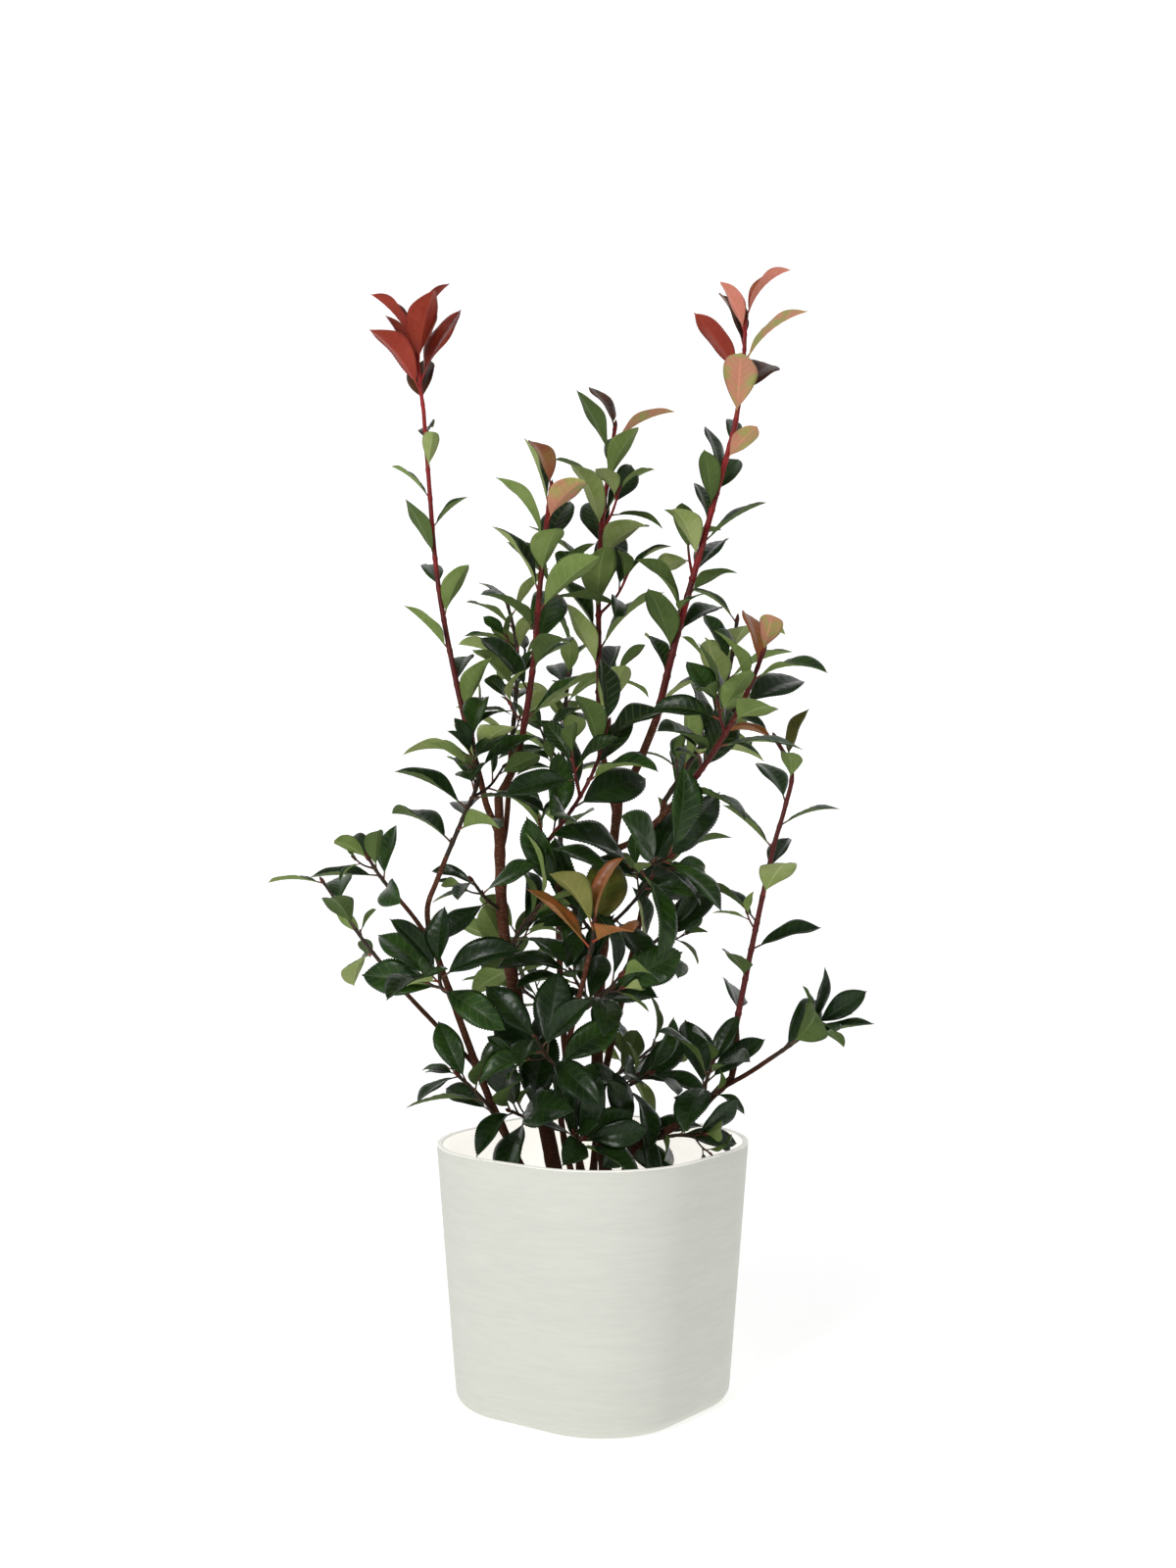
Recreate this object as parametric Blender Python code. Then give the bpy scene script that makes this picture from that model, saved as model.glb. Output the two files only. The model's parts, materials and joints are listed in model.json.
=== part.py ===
"""A young photinia, several stems from one root, in a square planter with round corners.

Metres, +Z up. The origin is the centre of the planter's flat underside.
X is to the right and Y away from someone who faces the plant. Routes of limbs are in millimetres.
"""

import math
import random
from collections import namedtuple

import bmesh
import bpy
from mathutils import Matrix, Vector
from mathutils.bvhtree import BVHTree

MM = 0.001
GAP = 0.0003
UP = Vector((0, 0, 1))
RIGHT = Vector((1, 0, 0))

# Planter
POT_TOP_SIDE = 0.295
POT_BASE_SIDE = 0.250
POT_HEIGHT = 0.266
POT_TOP_CORNER = 0.116
POT_BASE_CORNER = 0.088
POT_FOOT_ROUND = 0.014
POT_WALL = 0.0045
POT_LIP = 0.0062
POT_LIP_DEPTH = 0.009
POT_LIP_STEP = 0.003
POT_EDGE = 0.0015
POT_FLOOR = 0.006
POT_TURN = math.radians(54)
CORNER_STEPS = 6

# Compost
SOIL_TOP = 0.206
SOIL_DISH = 0.010
SOIL_FLAT_SHARE = 0.80

# Limbs
LIMB_STEP = 0.030
SHOOT_STEP = 0.040
STEM_SIDES = 8
BOUGH_SIDES = 6
SHOOT_SIDES = 5
TWIG_SIDES = 4
FLARE_HEIGHT = 0.030
FLARE = 0.55
SHOOT_TAPER = 0.34
SHOOT_END = 0.002
SHOOT_TIP_RADIUS = 0.0013
TWIG_RADII = (0.0017, 0.0015, 0.0012)
TWIG_LEAN = (36, 50)
TWIG_LENGTH = (0.040, 0.062)
TWIG_RISE = 0.25
TWIG_LEAVES = 4
TWIG_LEAF_PLACE = (0.42, 0.17)
TWIG_LEAF_SPREAD = (52, -9)
TWIG_LEAF_SIZE = (0.86, -0.08)

# Leaves
TURN_PER_LEAF = math.radians(137.5)
LEAF_WIDTH = 0.47
LEAF_STALK = 0.13
LEAF_STATIONS = (0.32, 0.72)
LEAF_HALF_THICKNESS = 0.0006
STALK_HALF = 0.0011
EDGE_POWERS = (1.05, 0.75)
SOIL_CLEARANCE = 0.006
LEAF_CROWDING = 0.86
YOUNG_FOLD = 26  # degrees more for the newest leaf of a young mass
LEAF_SMALLEST = 0.88
LEAF_GAIN = 0.18
GAIN_START = 0.2
LEAF_TRIES = (
    (0, 0, 1.0), (16, 0, 1.0), (-16, 0, 1.0), (32, 6, 1.0), (-32, 6, 1.0), (0, 16, 0.92),
    (50, -8, 0.92), (-50, -8, 0.92), (75, 8, 0.85), (-75, 8, 0.85), (0, -14, 0.72),
)

# The range of what differs from leaf to leaf. Angles are in degrees.
CHANCES = {
    "turn": (-14, 14),
    "spread": (-9, 9),
    "size": (0.88, 1.12),
    "light": (0.0, 0.5),
    "roll": (-28, 28),
    "width": (0.86, 1.12),
    "bend": (14, 56),
    "fold": (18, 46),
    "twist": (-20, 20),
}

# A limb starts on the axis of what it grows from, at a share of its length, or on the soil.
# Its route holds the points after that one. Foot and tip are its diameters.
Limb = namedtuple("Limb", "name parent share route foot tip")

STEMS = (
    Limb("left_stem", None, (-34, 0), ((-58, -5, 327), (-90, -10, 472), (-97, 0, 618)), 17, 9),
    Limb("centre_stem", None, (15, 20), ((4, 20, 345), (13, 18, 500), (27, 10, 620)), 14, 9),
    Limb("right_stem", None, (29, -20), ((39, -30, 261), (87, -40, 289), (138, -55, 338)), 9, 7),
    Limb("back_stem", None, (-1, 60), ((10, 72, 310), (43, 85, 452), (77, 100, 612)), 8, 6),
    Limb("far_stem", None, (-12, 92), ((-30, 120, 340), (-38, 150, 480), (-36, 165, 560)), 8, 6),
    Limb("left_arching_stem", None, (-56, -20), ((-99, -40, 302), (-130, -50, 385), (-164, -60, 485)), 9, 6),
    Limb("front_stem", None, (-15, -30), ((-32, -45, 292), (-30, -60, 349), (-4, -88, 465)), 7, 5),
)

BOUGHS = (
    Limb("left_tall_bough", "left_stem", 0.91, ((-112, 5, 616), (-116, 10, 636)), 6.8, 6.6),
    Limb("upper_left_bough", "left_stem", 1.0, ((-84, 0, 640), (-72, -10, 683)), 8, 7),
    Limb("back_left_bough", "left_stem", 0.86, ((-90, 22, 590), (-86, 44, 665)), 6, 5.5),
    Limb("upper_right_bough", "centre_stem", 1.0, ((43, 4, 645), (65, 0, 699)), 8.4, 8),
    Limb("upper_middle_bough", "centre_stem", 0.95, ((15, 22, 636), (6, 30, 687)), 6.6, 6.4),
    Limb("right_diagonal_bough", "centre_stem", 0.86, ((50, -12, 580), (83, -40, 615)), 6.5, 6.4),
    Limb("left_diagonal_bough", "left_stem", 0.79, ((-78, -18, 542), (-61, -30, 557)), 5, 4.6),
    Limb("right_upright_bough", "right_stem", 1.0, ((143, -52, 358), (143, -50, 390)), 6.6, 6.4),
    Limb("right_low_bough", "right_stem", 0.92, ((152, -68, 344), (177, -85, 364)), 5, 4.6),
    Limb("left_upper_bough", "left_arching_stem", 1.0, ((-166, -60, 508), (-147, -50, 560)), 5.6, 5),
    Limb("left_outer_bough", "left_arching_stem", 0.95, ((-182, -74, 507), (-195, -85, 524)), 4.6, 4.2),
    Limb("left_low_bough", "left_arching_stem", 0.52, ((-156, -20, 383), (-196, 10, 419)), 5, 4.6),
)

# A mass is one stem with leaves and side twigs. Its leaves are counted along the stem, after a bare
# length. Size is a leaf's length, spread its angle from the stem at the foot and at the tip, first
# the way round of the lowest leaf: 0 right, 90 away, 180 left and 270 towards the viewer.
Mass = namedtuple("Mass", "name parent share route foot bare leaves size spread first twigs seed")

MASSES = (
    Mass("left_tall_leaves", "left_tall_bough", 1.0,
         ((-140, 20, 730), (-161, 30, 840), (-171, 35, 950), (-176, 35, 1018)),
         6.6, 16, 12, 66, (27, 34), 144, 0, 176),
    Mass("left_tall_red_tip", "left_tall_leaves", 1.0, ((-181, 35, 1058), (-183, 35, 1090)),
         4.4, 8, 8, 81, (34, 18), 93, 0, 235),
    Mass("upper_left_leaves", "upper_left_bough", 1.0,
         ((-61, -24, 750), (-55, -35, 817), (-47, -43, 893), (-42, -50, 929)),
         7, 14, 13, 84, (48, 20), 24, 1, 700),
    Mass("upper_middle_leaves", "upper_middle_bough", 1.0,
         ((6, 38, 770), (7, 40, 880), (23, 55, 1005)), 6.4, 14, 18, 82, (36, 32), 306, 2, 825),
    Mass("upper_right_leaves", "upper_right_bough", 1.0,
         ((85, -10, 782), (112, -10, 879), (144, -10, 995)), 8, 16, 16, 70, (36, 22), 315, 1, 957),
    Mass("upper_right_red_tip", "upper_right_leaves", 1.0, ((152, -10, 1050), (155, -10, 1106)),
         5.3, 8, 7, 85, (38, 12), 273, 0, 488),
    Mass("right_diagonal_leaves", "right_diagonal_bough", 1.0,
         ((114, -60, 656), (146, -88, 712), (166, -100, 763)), 6.4, 14, 11, 83, (56, 34), 309, 1, 495),
    Mass("left_diagonal_leaves", "left_diagonal_bough", 1.0,
         ((-22, -60, 606), (4, -75, 655), (14, -80, 690)), 4.6, 14, 10, 83, (50, 24), 330, 1, 41),
    Mass("right_upright_leaves", "right_upright_bough", 1.0,
         ((162, -45, 482), (184, -35, 578), (201, -30, 640), (184, -40, 677)),
         6.4, 12, 12, 71, (54, 44), 99, 0, 853),
    Mass("right_low_leaves", "right_low_bough", 1.0, ((201, -100, 384), (216, -110, 399)),
         4.6, 12, 6, 75, (34, 18), 75, 0, 265),
    Mass("left_upper_leaves", "left_upper_bough", 1.0,
         ((-130, -50, 600), (-114, -55, 643), (-120, -60, 676)), 5, 14, 11, 85, (69, 48), 147, 1, 35),
    Mass("left_outer_leaves", "left_outer_bough", 1.0, ((-207, -90, 539), (-220, -95, 560)),
         4.2, 10, 6, 60, (64, 28), 270, 0, 231),
    Mass("left_low_leaves", "left_low_bough", 1.0, ((-238, 35, 466), (-262, 47, 498), (-284, 55, 528)),
         4.6, 12, 5, 73, (64, 38), 345, 0, 674),
    Mass("back_right_leaves", "back_stem", 1.0,
         ((124, 120, 685), (147, 125, 750), (156, 125, 806)), 6, 14, 12, 83, (40, 48), 105, 1, 932),
    Mass("back_left_leaves", "back_left_bough", 1.0,
         ((-80, 54, 740), (-82, 60, 790), (-90, 62, 820)), 5.5, 14, 11, 72, (58, 40), 186, 1, 873),
    Mass("far_leaves", "far_stem", 1.0,
         ((-34, 176, 640), (-30, 184, 720), (-24, 186, 780)), 6, 12, 13, 68, (72, 26), 315, 2, 849),
    Mass("front_orange_crown", "front_stem", 1.0, ((0, -91, 482), (1, -93, 496)),
         5, 6, 5, 93, (60, 10), 159, 0, 3),
    Mass("left_fork_spray", "left_stem", 0.72, ((-112, -30, 520), (-122, -44, 536)),
         4.4, 22, 4, 62, (62, 54), 225, 0, 44),
    Mass("left_middle_spray", "left_stem", 0.52, ((-84, 26, 452), (-80, 44, 476)),
         4.4, 20, 8, 78, (58, 54), 336, 0, 935),
    Mass("left_inner_spray", "left_arching_stem", 0.78, ((-150, -74, 430), (-152, -92, 452)),
         4.2, 18, 8, 80, (74, 24), 177, 0, 801),
    Mass("left_foot_spray", "left_stem", 0.20, ((-70, -34, 296), (-84, -56, 306)),
         4.2, 22, 6, 97, (63, 20), 78, 0, 97),
    Mass("front_middle_spray", "front_stem", 0.52, ((-46, -92, 366), (-56, -110, 386)),
         4, 18, 8, 81, (68, 42), 30, 0, 666),
    Mass("centre_middle_spray", "centre_stem", 0.46, ((-12, -2, 420), (-22, -14, 440)),
         4.2, 20, 8, 89, (74, 30), 327, 0, 728),
    Mass("centre_upper_spray", "centre_stem", 0.80, ((52, -34, 548), (76, -58, 560)),
         4.4, 24, 7, 103, (57, 46), 348, 0, 814),
    Mass("right_middle_spray", "back_stem", 0.58, ((62, 56, 462), (80, 36, 480)),
         4.4, 20, 6, 77, (36, 22), 144, 0, 909),
    Mass("right_low_spray", "right_stem", 0.80, ((112, -66, 336), (118, -76, 356)),
         4.2, 16, 7, 76, (62, 20), 105, 0, 36),
    Mass("right_foot_spray", "right_stem", 0.40, ((92, -62, 284), (110, -74, 286)),
         4.2, 22, 6, 67, (54, 20), 219, 0, 285),
    Mass("centre_low_spray", "centre_stem", 0.30, ((40, -12, 322), (58, -24, 338)),
         4.2, 22, 8, 76, (74, 28), 9, 0, 59),
    Mass("back_low_spray", "back_stem", 0.26, ((44, 100, 330), (66, 118, 346)),
         4.2, 22, 6, 72, (64, 38), 279, 0, 637),
    Mass("far_low_spray", "far_stem", 0.50, ((-72, 142, 400), (-94, 150, 420)),
         4.2, 20, 8, 63, (35, 14), 192, 0, 438),
    Mass("centre_fork_spray", "centre_stem", 0.62, ((-16, -12, 500), (-34, -30, 524)),
         4.2, 20, 7, 88, (30, 8), 315, 0, 642),
    Mass("centre_right_spray", "centre_stem", 0.66, ((40, -8, 510), (58, -26, 536)),
         4.2, 20, 5, 88, (52, 34), 288, 0, 269),
    Mass("left_front_spray", "left_stem", 0.62, ((-68, -34, 494), (-50, -50, 516)),
         4.2, 20, 5, 82, (41, 26), 306, 0, 508),
    Mass("front_lower_spray", "front_stem", 0.76, ((8, -92, 424), (26, -104, 446)),
         4.0, 18, 5, 78, (60, 32), 96, 0, 855),
    Mass("back_middle_spray", "back_stem", 0.74, ((74, 108, 536), (92, 124, 560)),
         4.2, 20, 6, 78, (58, 26), 150, 0, 129),
    Mass("left_arch_low_spray", "left_arching_stem", 0.30, ((-118, -60, 328), (-134, -72, 344)),
         4.2, 20, 5, 70, (46, 40), 51, 0, 394),
    Mass("front_foot_spray", "front_stem", 0.24, ((-20, -66, 272), (-10, -90, 284)),
         4.0, 22, 6, 82, (44, 38), 45, 0, 948),
    Mass("centre_foot_spray", "centre_stem", 0.18, ((26, -10, 270), (46, -34, 286)),
         4.2, 22, 6, 82, (65, 54), 309, 0, 771),
)

# Colour, roughness and metallic of each material
MATERIALS = {
    "white_plastic": ((0.72, 0.72, 0.68), 0.55, 0.0),
    "compost": ((0.045, 0.030, 0.022), 0.95, 0.0),
    "brown_bark": ((0.115, 0.062, 0.040), 0.80, 0.0),
    "green_leaf": ((0.050, 0.120, 0.030), 0.40, 0.0),
    "red_leaf": ((0.330, 0.055, 0.030), 0.38, 0.0),
    "orange_leaf": ((0.300, 0.170, 0.035), 0.40, 0.0),
}
YOUNG = {
    "left_tall_red_tip": "red_leaf",
    "upper_right_red_tip": "red_leaf",
    "front_orange_crown": "orange_leaf",
}


# Paths


def through(points, step):
    """Evenly spaced points on a smooth curve through the given ones."""
    ends = [2 * points[0] - points[1], *points, 2 * points[-1] - points[-2]]
    dense = []
    for a, b, c, d in zip(ends, ends[1:], ends[2:], ends[3:]):
        for k in range(16):
            t = k / 16
            dense.append(0.5 * (2 * b + (c - a) * t + (2 * a - 5 * b + 4 * c - d) * t * t
                                + (3 * b - a - 3 * c + d) * t ** 3))
    dense.append(points[-1].copy())
    runs = [(q - p).length for p, q in zip(dense, dense[1:])]
    count = max(2, round(sum(runs) / step))
    spaced, gone, k = [dense[0]], 0.0, 0
    for n in range(1, count):
        goal = sum(runs) * n / count
        while gone + runs[k] < goal:
            gone += runs[k]
            k += 1
        spaced.append(dense[k].lerp(dense[k + 1], (goal - gone) / runs[k]))
    return [*spaced, dense[-1]]


def length_of(spine):
    return sum((q - p).length for p, q in zip(spine, spine[1:]))


def place_on(spine, share):
    """The point at a share of the spine's length, and the spine's direction there."""
    goal = share * length_of(spine)
    for p, q in zip(spine, spine[1:]):
        run = (q - p).length
        if goal <= run + 1e-9:
            return p.lerp(q, goal / run), (q - p).normalized()
        goal -= run
    return spine[-1].copy(), (spine[-1] - spine[-2]).normalized()


def tangents(spine, first=None):
    """The direction at each point of the spine. The first may be given, where a cut has to lie flat."""
    runs = [(q - p).normalized() for p, q in zip(spine, spine[1:])]
    return [first or runs[0], *[(a + b).normalized() for a, b in zip(runs, runs[1:])], runs[-1]]


# Solids


def mesh_of(name, points, faces):
    """A mesh whose faces point outwards."""
    mesh = bpy.data.meshes.new(name)
    mesh.from_pydata([tuple(p) for p in points], [], faces)
    body = bmesh.new()
    body.from_mesh(mesh)
    bmesh.ops.recalc_face_normals(body, faces=body.faces)
    body.to_mesh(mesh)
    body.free()
    return mesh


def tube(spine, radii, sides, first=None):
    """Points and faces of a tapering tube with flat ends."""
    points, faces, side = [], [], None
    for p, along, radius in zip(spine, tangents(spine, first), radii):
        side = side or along.orthogonal()
        side = (side - along * side.dot(along)).normalized()
        over = along.cross(side)
        for k in range(sides):
            turn = 2 * math.pi * k / sides
            points.append(p + radius * (math.cos(turn) * side + math.sin(turn) * over))
    for n in range(len(spine) - 1):
        for k in range(sides):
            a, b = n * sides + k, n * sides + (k + 1) % sides
            faces.append((a, b, b + sides, a + sides))
    faces.append(tuple(range(sides)))
    faces.append(tuple(range(len(points) - sides, len(points))))
    return points, faces


def is_closed(mesh):
    """True where every edge of the mesh has two faces."""
    body = bmesh.new()
    body.from_mesh(mesh)
    found = bool(body.edges) and all(edge.is_manifold for edge in body.edges)
    body.free()
    return found


def joined(target, others, operation):
    """The target after one Boolean with a collection of the others, which are then removed."""
    group = bpy.data.collections.new(target.name + "_pieces")
    bpy.context.scene.collection.children.link(group)
    for other in others:
        group.objects.link(other)
    step = target.modifiers.new("join", "BOOLEAN")
    step.operation = operation
    step.operand_type = "COLLECTION"
    step.collection = group
    for solver in ("EXACT", "MANIFOLD"):
        step.solver = solver
        graph = bpy.context.evaluated_depsgraph_get()
        made = bpy.data.meshes.new_from_object(target.evaluated_get(graph))
        if is_closed(made):
            break
    target.modifiers.clear()
    target.data = made
    for other in others:
        bpy.data.objects.remove(other)
    bpy.data.collections.remove(group)
    return target


def largest_piece(target):
    """Drops what a cut has left apart from the main piece."""
    body = bmesh.new()
    body.from_mesh(target.data)
    left = set(body.verts)
    pieces = []
    while left:
        piece, edge = set(), [left.pop()]
        while edge:
            vert = edge.pop()
            piece.add(vert)
            near = {e.other_vert(vert) for e in vert.link_edges} & left
            left -= near
            edge.extend(near)
        pieces.append(piece)
    pieces.sort(key=len)
    bmesh.ops.delete(body, geom=[v for piece in pieces[:-1] for v in piece], context="VERTS")
    body.to_mesh(target.data)
    body.free()
    return target


def shown(name, mesh, material):
    """An object of the plant, with its one material."""
    thing = bpy.data.objects.new(name, mesh)
    bpy.context.scene.collection.objects.link(thing)
    thing.data.materials.clear()
    thing.data.materials.append(material)
    return thing


def helper(name, points, faces):
    """An object that only takes part in a Boolean."""
    return bpy.data.objects.new(name, mesh_of(name, points, faces))


def make_materials():
    made = {}
    for name, (colour, roughness, metallic) in MATERIALS.items():
        made[name] = bpy.data.materials.new(name)
        made[name].use_nodes = True
        shader = made[name].node_tree.nodes["Principled BSDF"]
        shader.inputs["Base Color"].default_value = (*colour, 1.0)
        shader.inputs["Roughness"].default_value = roughness
        shader.inputs["Metallic"].default_value = metallic
    return made


# Planter and compost


def square_ring(side, corner, height):
    """A level square with round corners, turned as the planter stands."""
    turned = Matrix.Rotation(POT_TURN, 3, "Z")
    ring = []
    for quarter in range(4):
        centre = Matrix.Rotation(quarter * math.pi / 2, 3, "Z") @ Vector((1, 1, 0)) * (side / 2 - corner)
        for k in range(CORNER_STEPS + 1):
            turn = (quarter + k / CORNER_STEPS) * math.pi / 2
            point = centre + corner * Vector((math.cos(turn), math.sin(turn), 0))
            ring.append(turned @ point + UP * height)
    return ring


def wall_sizes(height):
    """The planter's outer side and corner radius at a height."""
    share = height / POT_HEIGHT
    side = POT_BASE_SIDE + (POT_TOP_SIDE - POT_BASE_SIDE) * share
    return side, POT_BASE_CORNER + (POT_TOP_CORNER - POT_BASE_CORNER) * share


def stacked(rings):
    """Points and faces of a closed body through level rings, from its first ring to its last."""
    points = [p for ring in rings for p in ring]
    count = len(rings[0])
    faces = [tuple(range(count)), tuple(range(len(points) - count, len(points)))]
    for n in range(len(rings) - 1):
        for k in range(count):
            a, b = n * count + k, n * count + (k + 1) % count
            faces.append((a, b, b + count, a + count))
    return points, faces


def pot_rings():
    rings = []
    for turn in (0.0, 0.5, 1.0):
        height = POT_FOOT_ROUND * (1 - math.sin(turn * math.pi / 2))
        inset = POT_FOOT_ROUND * (1 - math.cos(turn * math.pi / 2))
        side, corner = wall_sizes(height)
        rings.insert(0, square_ring(side - 2 * inset, corner - inset, height))
    for height in (POT_HEIGHT / 2, POT_HEIGHT - POT_EDGE):
        rings.append(square_ring(*wall_sizes(height), height))
    for inset, height in (
        (POT_EDGE, POT_HEIGHT),
        (POT_LIP - POT_EDGE, POT_HEIGHT),
        (POT_LIP, POT_HEIGHT - POT_EDGE),
        (POT_LIP, POT_HEIGHT - POT_LIP_DEPTH),
        (POT_WALL, POT_HEIGHT - POT_LIP_DEPTH - POT_LIP_STEP),
        (POT_WALL, POT_HEIGHT / 2),
        (POT_WALL, POT_FLOOR),
    ):
        side, corner = wall_sizes(height)
        rings.append(square_ring(side - 2 * inset, corner - inset, height))
    return rings


def soil_rings():
    inset = POT_WALL + GAP
    rings = []
    for height in (POT_FLOOR + GAP, POT_HEIGHT / 2, SOIL_TOP - SOIL_DISH):
        side, corner = wall_sizes(height)
        rings.append(square_ring(side - 2 * inset, corner - inset, height))
    side, corner = wall_sizes(SOIL_TOP)
    rings.append(square_ring(side * SOIL_FLAT_SHARE, corner * SOIL_FLAT_SHARE, SOIL_TOP))
    return rings


# Limbs


def spine_of(limb, forms, step):
    """The limb's middle line, and the direction of its first cut where that is given."""
    rest = [Vector(p) * MM for p in limb.route]
    if limb.parent is None:
        foot = Vector((limb.share[0] * MM, limb.share[1] * MM, SOIL_TOP + GAP))
        return through([foot, *rest], step), UP
    start, along = place_on(forms[limb.parent].spine, limb.share)
    if limb.share == 1.0:
        return through([start + GAP * along, *rest], step), along
    return through([start, *rest], step), None


def limb_radii(limb, spine):
    """A radius for each point, with the root flare of a stem that stands on the soil."""
    total, gone, radii = length_of(spine), 0.0, []
    for n, p in enumerate(spine):
        gone += (p - spine[n - 1]).length if n else 0.0
        radius = (limb.foot + (limb.tip - limb.foot) * gone / total) * MM / 2
        if limb.parent is None:
            radius *= 1 + FLARE * max(0.0, 1 - gone / FLARE_HEIGHT) ** 2
        radii.append(radius)
    return radii


def shoot_radii(mass, spine):
    """A radius for each point of a leafy stem, which tapers to a fine tip."""
    total = length_of(spine)
    gone = [length_of(spine[:n + 1]) for n in range(len(spine))]
    return [max(SHOOT_TIP_RADIUS, mass.foot * MM / 2 * (1 - SHOOT_TAPER * run / total)) for run in gone]


def with_flare_ring(limb, spine):
    """A stem gets one more ring low down, so that its flare is short."""
    if limb.parent is not None:
        return spine
    low = place_on(spine, 0.45 * FLARE_HEIGHT / length_of(spine))[0]
    return [spine[0], low, *spine[1:]]


# Leaves

Leaf = namedtuple("Leaf", "root along side normal length width bend fold twist")


def half_width(leaf, share):
    """Half the blade's width at a share of its length: a wedge at the foot, widest past the middle."""
    low, high = EDGE_POWERS
    peak = low / (low + high)
    top = peak ** low * (1 - peak) ** high
    return leaf.width / 2 * share ** low * (1 - share) ** high / top


def on_leaf(leaf, share):
    """The middle of the blade at a share of its length, with its direction, side and upper normal."""
    stalk = LEAF_STALK * leaf.length
    blade = leaf.length - stalk
    turn = max(leaf.bend, 1e-4) * share
    reach = blade * share
    forward = reach * math.sin(turn) / turn if turn > 1e-6 else reach
    down = reach * (1 - math.cos(turn)) / turn if turn > 1e-6 else 0.0
    centre = leaf.root + leaf.along * (stalk + forward) - leaf.normal * down
    along = math.cos(turn) * leaf.along - math.sin(turn) * leaf.normal
    normal = math.cos(turn) * leaf.normal + math.sin(turn) * leaf.along
    turned = Matrix.Rotation(leaf.twist * share, 3, along)
    return centre, along, turned @ leaf.side, turned @ normal


def leaf_solid(leaf, grow=0.0, sunk=0.0015):
    """Points and faces of a folded blade on a three-sided stalk, which starts as a sunk point."""
    end, _, side, normal = on_leaf(leaf, 0.0)
    across, above = side * (STALK_HALF + grow), normal * (STALK_HALF + grow)
    points = [leaf.root - leaf.along * sunk, end - across + above, end + across + above, end - above]
    for share in LEAF_STATIONS:
        centre, _, side, normal = on_leaf(leaf, share)
        wide, thick = half_width(leaf, share) + grow, normal * (LEAF_HALF_THICKNESS + grow)
        raised, spread = normal * (wide * math.sin(leaf.fold)), side * (wide * math.cos(leaf.fold))
        points += [centre - spread + raised, centre + thick, centre + spread + raised, centre - thick]
    tip, along, _, _ = on_leaf(leaf, 1.0)
    points.append(tip + along * grow)
    faces = [(0, 1, 2), (0, 2, 3), (0, 3, 1)]
    faces += [(1, 2, 5), (1, 5, 4), (2, 6, 5), (1, 4, 7), (1, 7, 3), (2, 3, 7), (2, 7, 6)]
    for edge in (4, 6):
        for middle in (5, 7):
            faces += [(edge, middle, middle + 4), (edge, middle + 4, edge + 4)]
    faces += [(8 + k, 8 + (k + 1) % 4, 12) for k in range(4)]
    return points, faces


def outer_part(leaf, grow):
    """The leaf from the far end of its stalk outwards."""
    return leaf_solid(leaf, grow, -0.8 * LEAF_STALK * leaf.length)


def heading_out(along, turn, lean):
    """The direction that leaves a twig at an angle from its own, and the way out from the twig."""
    right = (RIGHT - along * RIGHT.dot(along)).normalized()
    out = math.cos(turn) * right + math.sin(turn) * along.cross(right)
    return math.cos(lean) * along + math.sin(lean) * out, out


def leaf_at(root, along, turn, spread, size, chance):
    """A leaf whose stalk leaves a twig at an angle from its direction."""
    heading, out = heading_out(along, turn, spread)
    normal = math.sin(spread) * along - math.cos(spread) * out
    normal = normal + chance["light"] * (UP - heading * UP.dot(heading))
    normal = (normal - heading * normal.dot(heading)).normalized()
    normal = Matrix.Rotation(math.radians(chance["roll"]), 3, heading) @ normal
    return Leaf(root, heading, heading.cross(normal), normal, size, size * LEAF_WIDTH * chance["width"],
                *(math.radians(chance[name]) for name in ("bend", "fold", "twist")))


def chances(dice):
    """What differs from leaf to leaf. Every leaf draws the same count of numbers."""
    return {name: dice.uniform(*ends) for name, ends in CHANCES.items()}


class Space:
    """What stands already, as closed shapes that a new leaf or twig has to stay clear of."""

    def __init__(self):
        self.taken = []

    def add(self, owner, points, faces):
        self.taken.append((owner, *shape_of(points, faces)))

    def clear(self, owner, points, faces):
        """True where the shape is above the compost and meets nothing but the owner's own stem."""
        if min(p.z for p in points) < SOIL_TOP + SOIL_CLEARANCE:
            return False
        shape = shape_of(points, faces)
        return not any(meets(shape, other) for name, *other in self.taken if owner is None or name != owner)


def shape_of(points, faces):
    """A solid's middle, its reach from there, and its surface for tests."""
    centre = sum(points, Vector()) / len(points)
    return centre, max((p - centre).length for p in points), BVHTree.FromPolygons(points, faces)


def meets(one, other):
    near = (one[0] - other[0]).length < one[1] + other[1]
    return near and bool(one[2].overlap(other[2]))


def place_leaf(space, mass, root, along, turn, spread, size, chance):
    """The first way to set the leaf that touches nothing, or None."""
    for more_turn, more_spread, shrink in LEAF_TRIES:
        leaf = leaf_at(root, along, turn + math.radians(more_turn + chance["turn"]),
                       spread + math.radians(more_spread + chance["spread"]),
                       size * shrink * chance["size"], chance)
        outer = outer_part(leaf, 2 * GAP)
        if space.clear(mass.name, *leaf_solid(leaf, 2 * GAP)) and space.clear(None, *outer):
            space.add(None, *outer)
            return leaf
    return None


def grown_at(share):
    """How large a leaf grows along the stem: largest a third of the way up, smallest at the tip."""
    return LEAF_SMALLEST + LEAF_GAIN * math.sin(math.pi * min(1.0, GAIN_START + share))


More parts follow.
